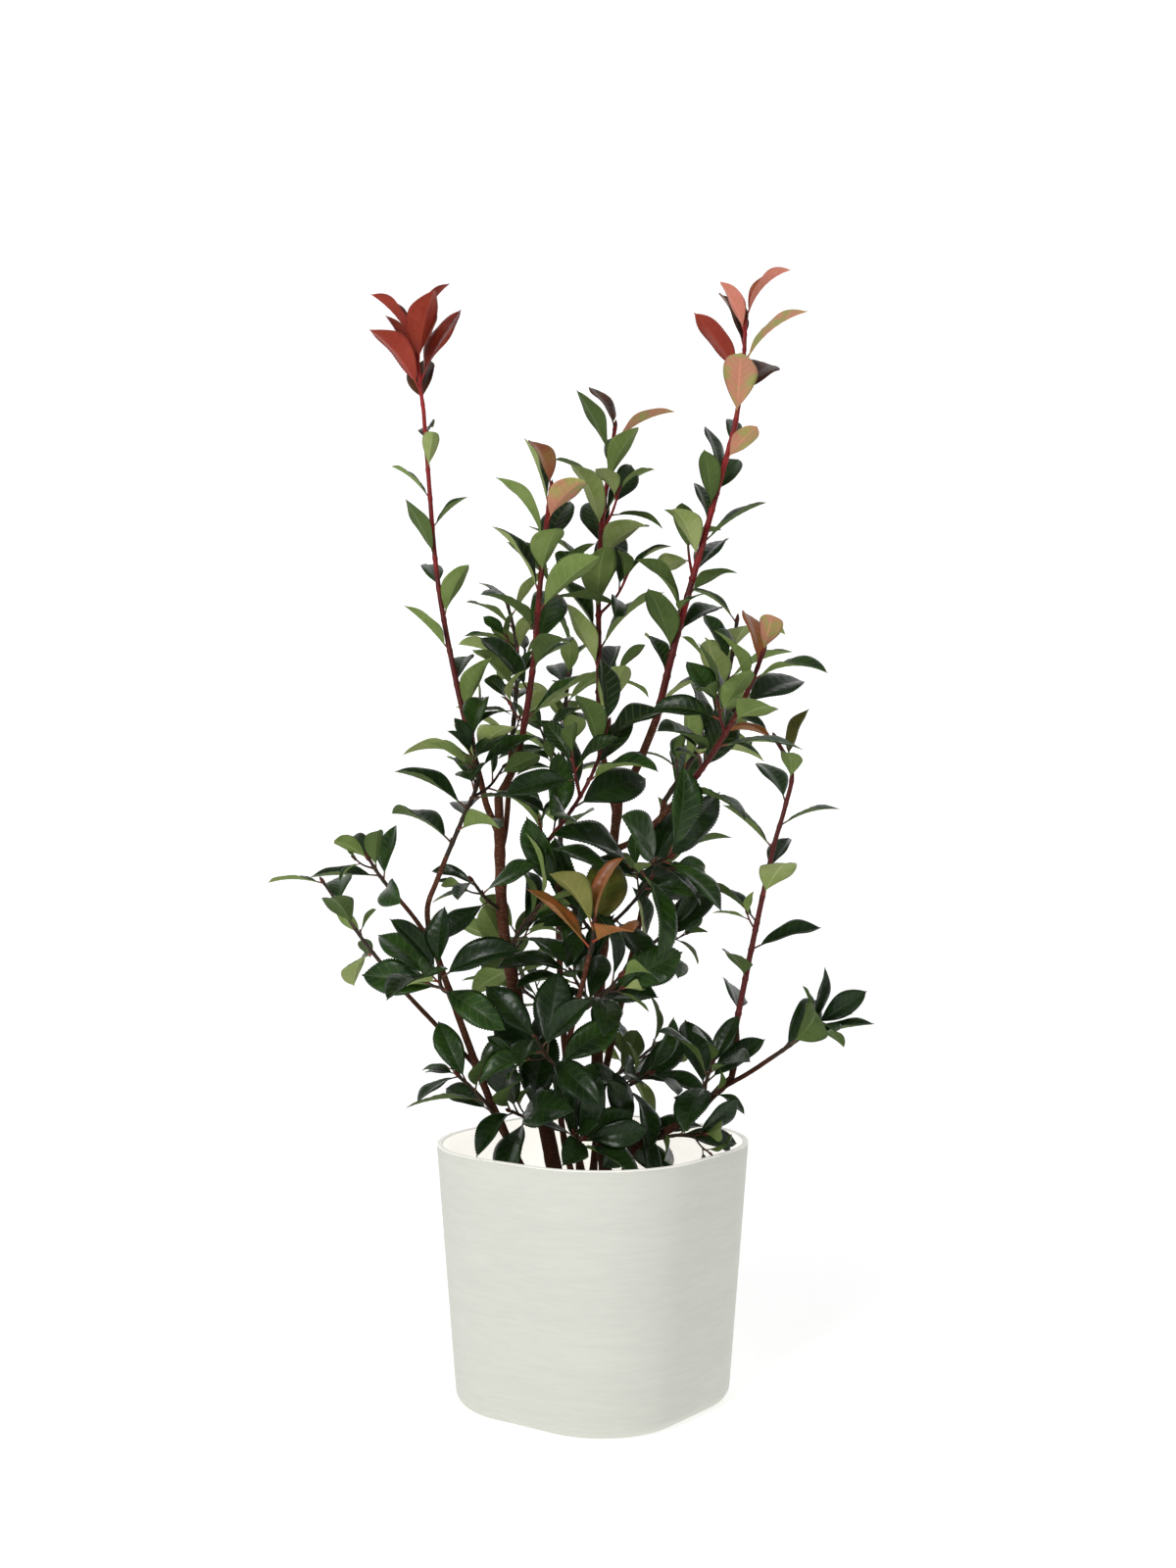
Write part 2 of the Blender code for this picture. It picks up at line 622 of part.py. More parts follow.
def dress(space, mass, spine):
    """The mass's leaves and side twigs, worked out from its seed."""
    dice = random.Random(mass.seed)
    total = length_of(spine)
    bare = mass.bare * MM
    low, high = (math.radians(a) for a in mass.spread)
    leaves, twigs = [], []
    twig_places = {round((k + 1) * mass.leaves / (mass.twigs + 1.6)) for k in range(mass.twigs)}
    for n in range(mass.leaves):
        share = n / max(1, mass.leaves - 1)
        root, along = place_on(spine, (bare + (total - bare - SHOOT_END) * share ** LEAF_CROWDING) / total)
        turn = math.radians(mass.first) + n * TURN_PER_LEAF
        spread = low + (high - low) * share
        if n in twig_places:
            twigs.append(place_twig(space, mass, root, along, turn + math.pi / 3, dice, leaves))
        size = mass.size * MM * grown_at(share)
        chance = chances(dice)
        if mass.name in YOUNG:
            chance["fold"] += YOUNG_FOLD * share ** 3
        found = place_leaf(space, mass, root, along, turn, spread, size, chance)
        if found:
            leaves.append(found)
    return leaves, [twig for twig in twigs if twig]


def place_twig(space, mass, root, along, turn, dice, leaves):
    """A short side twig with a few leaves of its own, or None where there is no room for it."""
    lean, length = math.radians(dice.uniform(*TWIG_LEAN)), dice.uniform(*TWIG_LENGTH)
    heading, _ = heading_out(along, turn, lean)
    spine = [root, root + heading * length / 2, root + (heading + TWIG_RISE * UP).normalized() * length]
    draws = [chances(dice) for _ in range(TWIG_LEAVES)]
    solid = tube(spine, TWIG_RADII, TWIG_SIDES)
    if not space.clear(mass.name, *solid):
        return None
    space.add(mass.name, *solid)
    for k, chance in enumerate(draws):
        share, spread, size = (first + k * step for first, step in
                               (TWIG_LEAF_PLACE, TWIG_LEAF_SPREAD, TWIG_LEAF_SIZE))
        found = place_leaf(space, mass, *place_on(spine, share), turn + k * TURN_PER_LEAF,
                           math.radians(spread), mass.size * MM * size, chance)
        if found:
            leaves.append(found)
    return solid


# The plant

Form = namedtuple("Form", "spine first radii sides")


def plan():
    """The spine, first cut, radii and sides of every stem, bough and mass, each after what it grows from."""
    forms = {}
    for limb in (*STEMS, *BOUGHS):
        spine, first = spine_of(limb, forms, LIMB_STEP)
        spine = with_flare_ring(limb, spine)
        sides = BOUGH_SIDES if limb.parent else STEM_SIDES
        forms[limb.name] = Form(spine, first, limb_radii(limb, spine), sides)
    for mass in MASSES:
        spine, first = spine_of(mass, forms, SHOOT_STEP)
        forms[mass.name] = Form(spine, first, shoot_radii(mass, spine), SHOOT_SIDES)
    return forms


def swollen(form):
    """The limb's tube grown by the gap all round and at both ends."""
    ahead, back = tangents(form.spine)[-1], tangents(form.spine, form.first)[0]
    longer = [form.spine[0] - back * GAP, *form.spine[1:-1], form.spine[-1] + ahead * GAP]
    return tube(longer, [r + 1.1 * GAP for r in form.radii], form.sides, form.first)


def seated(name, forms, built, material):
    """The limb's solid, cut clear of the earlier limbs that it grows out of."""
    form = forms[name]
    solid = tube(form.spine, form.radii, form.sides, form.first)
    made = shown(name, mesh_of(name, *solid), material)
    shape = shape_of(*solid)
    cutters = [helper(other + "_cutter", *swollen(forms[other])) for other in built
               if meets(shape, shape_of(*swollen(forms[other])))]
    if cutters:
        joined(made, cutters, "DIFFERENCE")
        largest_piece(made)
    built.append(name)
    return made


def main():
    for thing in list(bpy.data.objects):
        bpy.data.objects.remove(thing)
    materials = make_materials()
    shown("pot", mesh_of("pot", *stacked(pot_rings())), materials["white_plastic"])
    shown("soil", mesh_of("soil", *stacked(soil_rings())), materials["compost"])

    forms, built = plan(), []
    made = {name: seated(name, forms, built, materials["brown_bark"]) for name in forms}
    space = Space()
    space.add("pot", *stacked(pot_rings()))
    for name, form in forms.items():
        space.add(name, *swollen(form))
    for mass in MASSES:
        leaves, twigs = dress(space, mass, forms[mass.name].spine)
        pieces = [helper(f"{mass.name}_leaf_{n}", *leaf_solid(leaf)) for n, leaf in enumerate(leaves)]
        pieces += [helper(f"{mass.name}_twig_{n}", *twig) for n, twig in enumerate(twigs)]
        joined(made[mass.name], pieces, "UNION")
        made[mass.name].data.materials.clear()
        made[mass.name].data.materials.append(materials[YOUNG.get(mass.name, "green_leaf")])


main()
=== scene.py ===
"""Looks of a potted photinia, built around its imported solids.

Metres, +Z up. X is to the right and Y away from someone who faces the plant. Routes of limbs are in
millimetres. The plant grows again here by the rule of its solids, and goes on to finer twigs and buds.
"""

import json
import math
import random
from collections import namedtuple
from functools import lru_cache
from itertools import accumulate

import bmesh
import bpy
from bpy.props import CollectionProperty, FloatProperty, FloatVectorProperty, IntProperty, PointerProperty
from mathutils import Matrix, Vector, noise
from mathutils.bvhtree import BVHTree

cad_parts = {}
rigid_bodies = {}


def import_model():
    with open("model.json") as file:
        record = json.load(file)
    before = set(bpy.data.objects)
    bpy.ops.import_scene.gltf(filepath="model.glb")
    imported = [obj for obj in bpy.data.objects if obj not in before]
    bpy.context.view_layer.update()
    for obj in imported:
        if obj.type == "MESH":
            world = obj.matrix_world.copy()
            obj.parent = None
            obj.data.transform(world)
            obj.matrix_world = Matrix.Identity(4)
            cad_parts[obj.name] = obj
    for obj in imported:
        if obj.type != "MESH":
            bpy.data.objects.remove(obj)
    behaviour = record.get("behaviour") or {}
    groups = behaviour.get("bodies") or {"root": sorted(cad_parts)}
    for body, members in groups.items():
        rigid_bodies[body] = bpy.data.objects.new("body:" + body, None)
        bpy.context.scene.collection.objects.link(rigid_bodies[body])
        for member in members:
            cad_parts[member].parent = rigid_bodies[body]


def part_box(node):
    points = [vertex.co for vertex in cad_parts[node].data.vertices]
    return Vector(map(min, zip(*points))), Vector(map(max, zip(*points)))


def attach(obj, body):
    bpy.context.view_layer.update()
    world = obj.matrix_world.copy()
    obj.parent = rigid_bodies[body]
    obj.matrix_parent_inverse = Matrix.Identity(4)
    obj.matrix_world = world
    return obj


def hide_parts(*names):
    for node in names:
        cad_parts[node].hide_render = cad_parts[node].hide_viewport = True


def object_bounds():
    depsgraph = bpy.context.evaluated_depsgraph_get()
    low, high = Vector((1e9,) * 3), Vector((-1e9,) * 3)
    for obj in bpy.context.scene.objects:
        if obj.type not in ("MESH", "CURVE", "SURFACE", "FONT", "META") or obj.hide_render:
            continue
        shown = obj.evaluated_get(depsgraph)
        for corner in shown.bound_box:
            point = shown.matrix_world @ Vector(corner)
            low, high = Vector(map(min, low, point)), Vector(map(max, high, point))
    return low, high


bl_info = {
    "name": "Potted photinia",
    "version": (1, 0, 0),
    "blender": (4, 5, 0),
    "location": "3D View > Sidebar > Photinia",
    "description": "Grows a young photinia in its planter: stems, leaves, compost and a studio round them",
    "category": "Object",
}

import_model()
CAD_BOX = [list(corner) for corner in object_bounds()]

MM = 0.001
GAP = 0.0003
UP = Vector((0, 0, 1))
RIGHT = Vector((1, 0, 0))
BODY = "root"

# Planter
POT_TOP_SIDE = 0.295
POT_BASE_SIDE = 0.250
POT_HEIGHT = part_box("pot")[1].z
POT_TOP_CORNER = 0.116
POT_BASE_CORNER = 0.088
POT_FOOT_ROUND = 0.014
POT_WALL = 0.0045
POT_LIP = 0.0062
POT_LIP_DEPTH = 0.009
POT_LIP_STEP = 0.003
POT_EDGE = 0.0015
POT_FLOOR = 0.006
POT_TURN = math.radians(54)
POT_STEPS = (28, 4)  # of a corner and of a rounding
ROUGH_POT_STEPS = (6, 1)
WALL_STEPS = 12
INNER_WALL_RINGS = (0.85, 0.5, 0.1)
# Painted light: the share of the inner wall's emission that the lip's top gets
LIP_PAINTED_GLOW = 0.3
POT_SMOOTH = 50
LEVEL = 0.3  # how far a level face's normal rises at least

# Compost
SOIL_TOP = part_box("soil")[1].z
SOIL_DISH = 0.010
SOIL_FLAT_SHARE = 0.80
SOIL_RINGS = 34
SOIL_CORNER_STEPS = 12
SOIL_SMOOTH = 60
LUMPS = ((55, 0.7), (190, 0.35))  # scales and shares
LUMP_DROP = 0.45
# The least and the most of a chip's turn and of its size
CHIP_CHANCES = (((-0.5, -0.5, 0.0), (0.5, 0.5, 2 * math.pi)), ((0.5, 0.4, 0.5), (1.6, 1.5, 1.4)))

# Limbs
CURVE_STEPS = 16
LIMB_STEP = 0.030
SHOOT_STEP = 0.040
TUBE_GAP = 1.1 * GAP
STEM_SIDES = 8
BOUGH_SIDES = 6
SHOOT_SIDES = 5
TWIG_SIDES = 4
FLARE_HEIGHT = 0.030
FLARE = 0.55
FLARE_RING_PLACE = 0.45
SHOOT_TAPER = 0.34
SHOOT_END = 0.002
SHOOT_TIP_RADIUS = 0.0013
TWIG_RADII = (0.0017, 0.0015, 0.0012)
TWIG_LEAN = (36, 50)
TWIG_LENGTH = (0.040, 0.062)
TWIG_RISE = 0.25
TWIG_LEAVES = 4
TWIG_CROWDING = 1.6
TWIG_TURN = math.pi / 3
# Place, angle and size of a twig's first leaf, each with what the next leaf adds to it
TWIG_LAYOUT = ((0.42, 0.17), (52, -9), (0.86, -0.08))

# Leaves
TURN_PER_LEAF = math.radians(137.5)
LEAF_WIDTH = 0.47
LEAF_STALK = 0.13
LEAF_STATIONS = (0.32, 0.72)
LEAF_HALF_THICKNESS = 0.0006
STALK_HALF = 0.0011
LEAF_SUNK = 0.0015
LEAF_GAP = 2 * GAP
LEAST_BEND = 1e-4
LEAST_TURN = 1e-6
STALK_LEFT_OUT = 0.8
EDGE_POWERS = (1.05, 0.75)
SOIL_CLEARANCE = 0.006
LEAF_CROWDING = 0.86
YOUNG_FOLD = 26  # degrees more for the newest leaf of a young mass
LEAF_SMALLEST = 0.88
LEAF_GAIN = 0.18
GAIN_START = 0.2
LEAF_TRIES = (
    (0, 0, 1.0), (16, 0, 1.0), (-16, 0, 1.0), (32, 6, 1.0), (-32, 6, 1.0), (0, 16, 0.92),
    (50, -8, 0.92), (-50, -8, 0.92), (75, 8, 0.85), (-75, 8, 0.85), (0, -14, 0.72),
)

# The range of what differs from leaf to leaf. Angles are in degrees.
CHANCES = {
    "turn": (-14, 14),
    "spread": (-9, 9),
    "size": (0.88, 1.12),
    "light": (0.0, 0.5),
    "roll": (-28, 28),
    "width": (0.86, 1.12),
    "bend": (14, 56),
    "fold": (18, 46),
    "twist": (-20, 20),
}

# A limb starts on the axis of what it grows from, at a share of its length, or on the soil.
# Its route holds the points after that one. Foot and tip are its diameters.
Limb = namedtuple("Limb", "name parent share route foot tip")

STEMS = [Limb(*row) for row in (
    ("left_stem", None, (-34, 0), ((-58, -5, 327), (-90, -10, 472), (-97, 0, 618)), 17, 9),
    ("centre_stem", None, (15, 20), ((4, 20, 345), (13, 18, 500), (27, 10, 620)), 14, 9),
    ("right_stem", None, (29, -20), ((39, -30, 261), (87, -40, 289), (138, -55, 338)), 9, 7),
    ("back_stem", None, (-1, 60), ((10, 72, 310), (43, 85, 452), (77, 100, 612)), 8, 6),
    ("far_stem", None, (-12, 92), ((-30, 120, 340), (-38, 150, 480), (-36, 165, 560)), 8, 6),
    ("left_arching_stem", None, (-56, -20), ((-99, -40, 302), (-130, -50, 385), (-164, -60, 485)), 9, 6),
    ("front_stem", None, (-15, -30), ((-32, -45, 292), (-30, -60, 349), (-4, -88, 465)), 7, 5),
)]

BOUGHS = [Limb(*row) for row in (
    ("left_tall_bough", "left_stem", 0.91, ((-112, 5, 616), (-116, 10, 636)), 6.8, 6.6),
    ("upper_left_bough", "left_stem", 1.0, ((-84, 0, 640), (-72, -10, 683)), 8, 7),
    ("back_left_bough", "left_stem", 0.86, ((-90, 22, 590), (-86, 44, 665)), 6, 5.5),
    ("upper_right_bough", "centre_stem", 1.0, ((43, 4, 645), (65, 0, 699)), 8.4, 8),
    ("upper_middle_bough", "centre_stem", 0.95, ((15, 22, 636), (6, 30, 687)), 6.6, 6.4),
    ("right_diagonal_bough", "centre_stem", 0.86, ((50, -12, 580), (83, -40, 615)), 6.5, 6.4),
    ("left_diagonal_bough", "left_stem", 0.79, ((-78, -18, 542), (-61, -30, 557)), 5, 4.6),
    ("right_upright_bough", "right_stem", 1.0, ((143, -52, 358), (143, -50, 390)), 6.6, 6.4),
    ("right_low_bough", "right_stem", 0.92, ((152, -68, 344), (177, -85, 364)), 5, 4.6),
    ("left_upper_bough", "left_arching_stem", 1.0, ((-166, -60, 508), (-147, -50, 560)), 5.6, 5),
    ("left_outer_bough", "left_arching_stem", 0.95, ((-182, -74, 507), (-195, -85, 524)), 4.6, 4.2),
    ("left_low_bough", "left_arching_stem", 0.52, ((-156, -20, 383), (-196, 10, 419)), 5, 4.6),
)]

# A mass is one stem with leaves and side twigs. Its leaves are counted along the stem, after a bare
# length. Size is a leaf's length, spread its angle from the stem at the foot and at the tip, first
# the way round of the lowest leaf: 0 right, 90 away, 180 left and 270 towards the viewer.
Mass = namedtuple("Mass", "name parent share route foot bare leaves size spread first twigs seed")

MASSES = [Mass(*row) for row in (
    ("left_tall_leaves", "left_tall_bough", 1.0, ((-140, 20, 730), (-161, 30, 840), (-171, 35, 950),
     (-176, 35, 1018)), 6.6, 16, 12, 66, (27, 34), 144, 0, 176),
    ("left_tall_red_tip", "left_tall_leaves", 1.0, ((-181, 35, 1058), (-183, 35, 1090)),
     4.4, 8, 8, 81, (34, 18), 93, 0, 235),
    ("upper_left_leaves", "upper_left_bough", 1.0, ((-61, -24, 750), (-55, -35, 817), (-47, -43, 893),
     (-42, -50, 929)), 7, 14, 13, 84, (48, 20), 24, 1, 700),
    ("upper_middle_leaves", "upper_middle_bough", 1.0, ((6, 38, 770), (7, 40, 880), (23, 55, 1005)),
     6.4, 14, 18, 82, (36, 32), 306, 2, 825),
    ("upper_right_leaves", "upper_right_bough", 1.0, ((85, -10, 782), (112, -10, 879), (144, -10, 995)),
     8, 16, 16, 70, (36, 22), 315, 1, 957),
    ("upper_right_red_tip", "upper_right_leaves", 1.0, ((152, -10, 1050), (155, -10, 1106)),
     5.3, 8, 7, 85, (38, 12), 273, 0, 488),
    ("right_diagonal_leaves", "right_diagonal_bough", 1.0, ((114, -60, 656), (146, -88, 712),
     (166, -100, 763)), 6.4, 14, 11, 83, (56, 34), 309, 1, 495),
    ("left_diagonal_leaves", "left_diagonal_bough", 1.0, ((-22, -60, 606), (4, -75, 655), (14, -80, 690)),
     4.6, 14, 10, 83, (50, 24), 330, 1, 41),
    ("right_upright_leaves", "right_upright_bough", 1.0, ((162, -45, 482), (184, -35, 578), (201, -30, 640),
     (184, -40, 677)), 6.4, 12, 12, 71, (54, 44), 99, 0, 853),
    ("right_low_leaves", "right_low_bough", 1.0, ((201, -100, 384), (216, -110, 399)),
     4.6, 12, 6, 75, (34, 18), 75, 0, 265),
    ("left_upper_leaves", "left_upper_bough", 1.0, ((-130, -50, 600), (-114, -55, 643), (-120, -60, 676)),
     5, 14, 11, 85, (69, 48), 147, 1, 35),
    ("left_outer_leaves", "left_outer_bough", 1.0, ((-207, -90, 539), (-220, -95, 560)),
     4.2, 10, 6, 60, (64, 28), 270, 0, 231),
    ("left_low_leaves", "left_low_bough", 1.0, ((-238, 35, 466), (-262, 47, 498), (-284, 55, 528)),
     4.6, 12, 5, 73, (64, 38), 345, 0, 674),
    ("back_right_leaves", "back_stem", 1.0, ((124, 120, 685), (147, 125, 750), (156, 125, 806)),
     6, 14, 12, 83, (40, 48), 105, 1, 932),
    ("back_left_leaves", "back_left_bough", 1.0, ((-80, 54, 740), (-82, 60, 790), (-90, 62, 820)),
     5.5, 14, 11, 72, (58, 40), 186, 1, 873),
    ("far_leaves", "far_stem", 1.0, ((-34, 176, 640), (-30, 184, 720), (-24, 186, 780)),
     6, 12, 13, 68, (72, 26), 315, 2, 849),
    ("front_orange_crown", "front_stem", 1.0, ((0, -91, 482), (1, -93, 496)),
     5, 6, 5, 93, (60, 10), 159, 0, 3),
    ("left_fork_spray", "left_stem", 0.72, ((-112, -30, 520), (-122, -44, 536)),
     4.4, 22, 4, 62, (62, 54), 225, 0, 44),
    ("left_middle_spray", "left_stem", 0.52, ((-84, 26, 452), (-80, 44, 476)),
     4.4, 20, 8, 78, (58, 54), 336, 0, 935),
    ("left_inner_spray", "left_arching_stem", 0.78, ((-150, -74, 430), (-152, -92, 452)),
     4.2, 18, 8, 80, (74, 24), 177, 0, 801),
    ("left_foot_spray", "left_stem", 0.20, ((-70, -34, 296), (-84, -56, 306)),
     4.2, 22, 6, 97, (63, 20), 78, 0, 97),
    ("front_middle_spray", "front_stem", 0.52, ((-46, -92, 366), (-56, -110, 386)),
     4, 18, 8, 81, (68, 42), 30, 0, 666),
    ("centre_middle_spray", "centre_stem", 0.46, ((-12, -2, 420), (-22, -14, 440)),
     4.2, 20, 8, 89, (74, 30), 327, 0, 728),
    ("centre_upper_spray", "centre_stem", 0.80, ((52, -34, 548), (76, -58, 560)),
     4.4, 24, 7, 103, (57, 46), 348, 0, 814),
    ("right_middle_spray", "back_stem", 0.58, ((62, 56, 462), (80, 36, 480)),
     4.4, 20, 6, 77, (36, 22), 144, 0, 909),
    ("right_low_spray", "right_stem", 0.80, ((112, -66, 336), (118, -76, 356)),
     4.2, 16, 7, 76, (62, 20), 105, 0, 36),
    ("right_foot_spray", "right_stem", 0.40, ((92, -62, 284), (110, -74, 286)),
     4.2, 22, 6, 67, (54, 20), 219, 0, 285),
    ("centre_low_spray", "centre_stem", 0.30, ((40, -12, 322), (58, -24, 338)),
     4.2, 22, 8, 76, (74, 28), 9, 0, 59),
    ("back_low_spray", "back_stem", 0.26, ((44, 100, 330), (66, 118, 346)),
     4.2, 22, 6, 72, (64, 38), 279, 0, 637),
    ("far_low_spray", "far_stem", 0.50, ((-72, 142, 400), (-94, 150, 420)),
     4.2, 20, 8, 63, (35, 14), 192, 0, 438),
    ("centre_fork_spray", "centre_stem", 0.62, ((-16, -12, 500), (-34, -30, 524)),
     4.2, 20, 7, 88, (30, 8), 315, 0, 642),
    ("centre_right_spray", "centre_stem", 0.66, ((40, -8, 510), (58, -26, 536)),
     4.2, 20, 5, 88, (52, 34), 288, 0, 269),
    ("left_front_spray", "left_stem", 0.62, ((-68, -34, 494), (-50, -50, 516)),
     4.2, 20, 5, 82, (41, 26), 306, 0, 508),
    ("front_lower_spray", "front_stem", 0.76, ((8, -92, 424), (26, -104, 446)),
     4.0, 18, 5, 78, (60, 32), 96, 0, 855),
    ("back_middle_spray", "back_stem", 0.74, ((74, 108, 536), (92, 124, 560)),
     4.2, 20, 6, 78, (58, 26), 150, 0, 129),
    ("left_arch_low_spray", "left_arching_stem", 0.30, ((-118, -60, 328), (-134, -72, 344)),
     4.2, 20, 5, 70, (46, 40), 51, 0, 394),
    ("front_foot_spray", "front_stem", 0.24, ((-20, -66, 272), (-10, -90, 284)),
     4.0, 22, 6, 82, (44, 38), 45, 0, 948),
    ("centre_foot_spray", "centre_stem", 0.18, ((26, -10, 270), (46, -34, 286)),
     4.2, 22, 6, 82, (65, 54), 309, 0, 771),
)]

# Finer growth: small leaves on short twigs, wherever the first leaves have left room
FINE_SEED = 900
FINE_TWIGS = 3
FINE_TWIGS_OF_SPRAYS = 1
FINE_TWIGS_OF_CRIMSON = 1
LONG_SHOOT_LEAVES = 10
FINE_PLACES = (0.08, 0.86)
FINE_PLACES_ON_CRIMSON = (0.04, 0.34)
FINE_TRIES = 5
FINE_LENGTH = (0.016, 0.034)
FINE_RADII = (0.0011, 0.0010, 0.0008)
FINE_LEAN = (34, 58)
FINE_LEAVES = 3
FINE_RISE = 0.2
FINE_LAYOUT = ((0.60, 0.19), (46, -12), (1.0, -0.1))
FINE_SIZE = (0.50, 0.70)

# The finished leaf
FORM_COLUMNS = (1.0, 0.80, 0.45, 0.055)
FORM_POWERS = (1.06, 0.88)
FORM_WIDTH = 0.95
FORM_STATIONS = 56
FORM_STALK = (-1.0, -0.7, -0.35)
FORM_POINT = 1.04
LEAF_PARTS = ("Upper side", "Underside", "Stalk", "Rib below", "Rib above")
TEETH_FROM = 0.10
LEAVES_PER_PIECE = 120
VEIN_PAIRS = 8
VEIN_SLANT = 0.17
VEIN_TURNS = 2 * math.pi * VEIN_PAIRS
FULL_LEAF = 0.08  # length at which a leaf's relief and stalk have their full size
FORM_CROWDING = 0.94
BLADE_START = 0.055
RIB_EDGE = 0.1
RIB_ABOVE = 0.35
YOUNG_UNDERSIDE = (0.46, 0.08)  # roughness and wax
OLD_UNDERSIDE = (0.58, 0.0)
TINT_SEED = 11
LEAF_MARKS = ("u", "v", "face", "turn", "tooth", "rib")
LEAF_VECTORS = ("root", "along", "side", "normal")
LEAF_NUMBERS = ("length", "width", "bend", "fold", "twist")
# Inputs of the leaves' tree, with the settings that they take
LEAF_SIZES = {
    "Stalk radius": "stalk",
    "Half thickness": "thickness",
    "Teeth": "teeth",
    "Lean of teeth": "lean",
    "Vein relief": "veins",
    "Edge wave": "wave",
    "Midrib": "rib",
}

# The finished limbs
TRUNK_STEP = 0.005
SHOOT_FINE_STEP = 0.0025
COLLAR = 0.30
COLLAR_REACH = 3.2  # in radii
JOINT = 0.20
JOINT_REACH = 0.0017
TRUNK_JOINT_REACH = 0.007
SUNK = 0.006
SUNK_IN_WOOD = 0.002
TWIG_COLLAR_REACH = 1.6  # in steps
SHOOT_RELIEF = 0.4
RELIEF_STRETCH = 0.35

# Buds: heights and radii of one of unit length, and their lengths above a leaf and at a tip
BUD_RINGS = ((0.0, 0.17), (0.18, 0.23), (0.45, 0.22), (0.75, 0.13), (0.96, 0.02))
BUD_SIDES = 7
BUD_LENGTH = (0.0034, 0.0052)
SHOOT_BUD = 0.0105
TWIG_BUD = 0.006
BUD_VARIES = (0.85, 1.15)
SIDE_BUD = 0.7
BUD_LEAN = (0.55, 0.83)
BUD_LIFTS = (0.0012, 0.0006)
BUD_SUNK = 0.0015
BUD_SEED = 5

# The studio. A lamp has a place and a size.
KEY_LAMP = ((-1.15, -2.1, 1.6), 0.9)
FILL_LAMP = ((2.0, -1.2, 1.3), 1.6)
LAMP_AIM = Vector((0, 0, 0.55))
SWEEP_FRONT = -3.0
SWEEP_BACK = 1.4
SWEEP_BEND = 0.8
SWEEP_TOP = 4.0
SWEEP_HALF = 4.0
SWEEP_STEPS = 10

# The camera, fitted to the photograph
CAMERA_PLACE = (-0.0053, -2.134, 0.666)
CAMERA_PITCH = math.radians(90) - 0.0160
PHOTO_HEIGHT = 1600
FOCUS_PIXELS = 2125
SENSOR = 36.0


def srgb(red, green, blue):
    """A colour as the eye gives it, from 0 to 255, in the linear values that a shader takes."""
    shares = (red / 255, green / 255, blue / 255)
    return tuple(c / 12.92 if c <= 0.04045 else ((c + 0.055) / 1.055) ** 2.4 for c in shares)


# Each tint's colours, as the eye gives them, then the roughness of its upper side and the wax on it
TINT_COLOURS = ("upper", "blotch", "under", "under_blotch", "stalk")
TINTS = {
    "deep": ((16, 36, 11), (27, 48, 16), (86, 104, 56), (74, 92, 48), (84, 62, 44), 0.28, 0.16),
    "mid": ((25, 51, 14), (41, 69, 21), (126, 144, 83), (110, 130, 69), (108, 60, 46), 0.30, 0.16),
    "fresh": ((16, 37, 9), (29, 51, 14), (156, 168, 108), (138, 154, 88), (138, 60, 50), 0.34, 0.14),
    "red": ((112, 34, 24), (138, 52, 34), (154, 60, 42), (140, 50, 38), (142, 42, 36), 0.26, 0.16),
    "salmon": ((156, 66, 52), (164, 96, 64), (222, 138, 120), (206, 130, 104), (172, 56, 52), 0.34, 0.10),
    "blush": ((62, 44, 20), (98, 84, 34), (208, 142, 116), (160, 162, 92), (150, 66, 52), 0.36, 0.03),
    "bronze": ((50, 24, 12), (84, 48, 24), (140, 80, 58), (130, 98, 58), (140, 54, 44), 0.36, 0.03),
    "orange": ((150, 84, 42), (122, 84, 38), (182, 112, 66), (158, 112, 62), (156, 66, 42), 0.32, 0.12),
    "olive": ((74, 80, 30), (98, 92, 40), (140, 138, 80), (122, 124, 66), (130, 80, 46), 0.30, 0.12),
}
GREEN_TINTS = ("deep", "mid", "fresh")
ORANGE_TINTS = ("orange", "olive")
YOUNG_TINTS = ("red", "salmon", "blush", "bronze", "orange")
SLOTS = {**dict.fromkeys(GREEN_TINTS, "green_foliage"), **dict.fromkeys(ORANGE_TINTS, "orange_foliage")}

# What a shoot's leaves turn to from a share of its length upwards
TURNING = {
    "left_tall_red_tip": ((0.0, "bronze"), (0.10, "red"), (0.65, "salmon"), (0.80, "red")),
    "upper_right_leaves": ((0.85, "blush"), (0.92, "fresh")),
    "upper_right_red_tip": (
        (0.0, "blush"), (0.10, "bronze"), (0.30, "red"), (0.45, "blush"), (0.60, "bronze"), (0.80, "salmon")),
    "upper_middle_leaves": ((0.90, "blush"), (0.97, "bronze")),
    "upper_left_leaves": ((0.80, "blush"), (0.88, "fresh"), (0.97, "bronze")),
    "right_diagonal_leaves": ((0.85, "orange"), (0.97, "blush")),
    "right_upright_leaves": ((0.86, "olive"), (0.95, "orange")),
    "front_orange_crown": ((0.0, "orange"), (0.30, "olive"), (0.90, "orange")),
}

# Shares of deep, mid and fresh leaves below each height
SHADES = (
    (0.42, (0.85, 0.15, 0.0)),
    (0.62, (0.45, 0.50, 0.05)),
    (0.80, (0.25, 0.50, 0.25)),
    (9.0, (0.30, 0.34, 0.36)),
)

# Masses of this year's leaves, and all shoots that are still crimson. The others have turned brown.
YOUNG = ("left_tall_red_tip", "upper_right_red_tip", "front_orange_crown")
CRIMSON = (
    "left_tall_leaves", "left_tall_red_tip", "upper_left_leaves", "upper_middle_leaves", "upper_right_leaves",
    "upper_right_red_tip", "right_diagonal_leaves", "right_upright_leaves", "left_diagonal_leaves",
)


# Sums on sockets


def summing(operation, reflected=False):
    """An operator's method, which adds the node that works the operation out."""
    def method(wire, other):
        return wire.board.reckon(operation, *((other, wire) if reflected else (wire, other)))
    return method


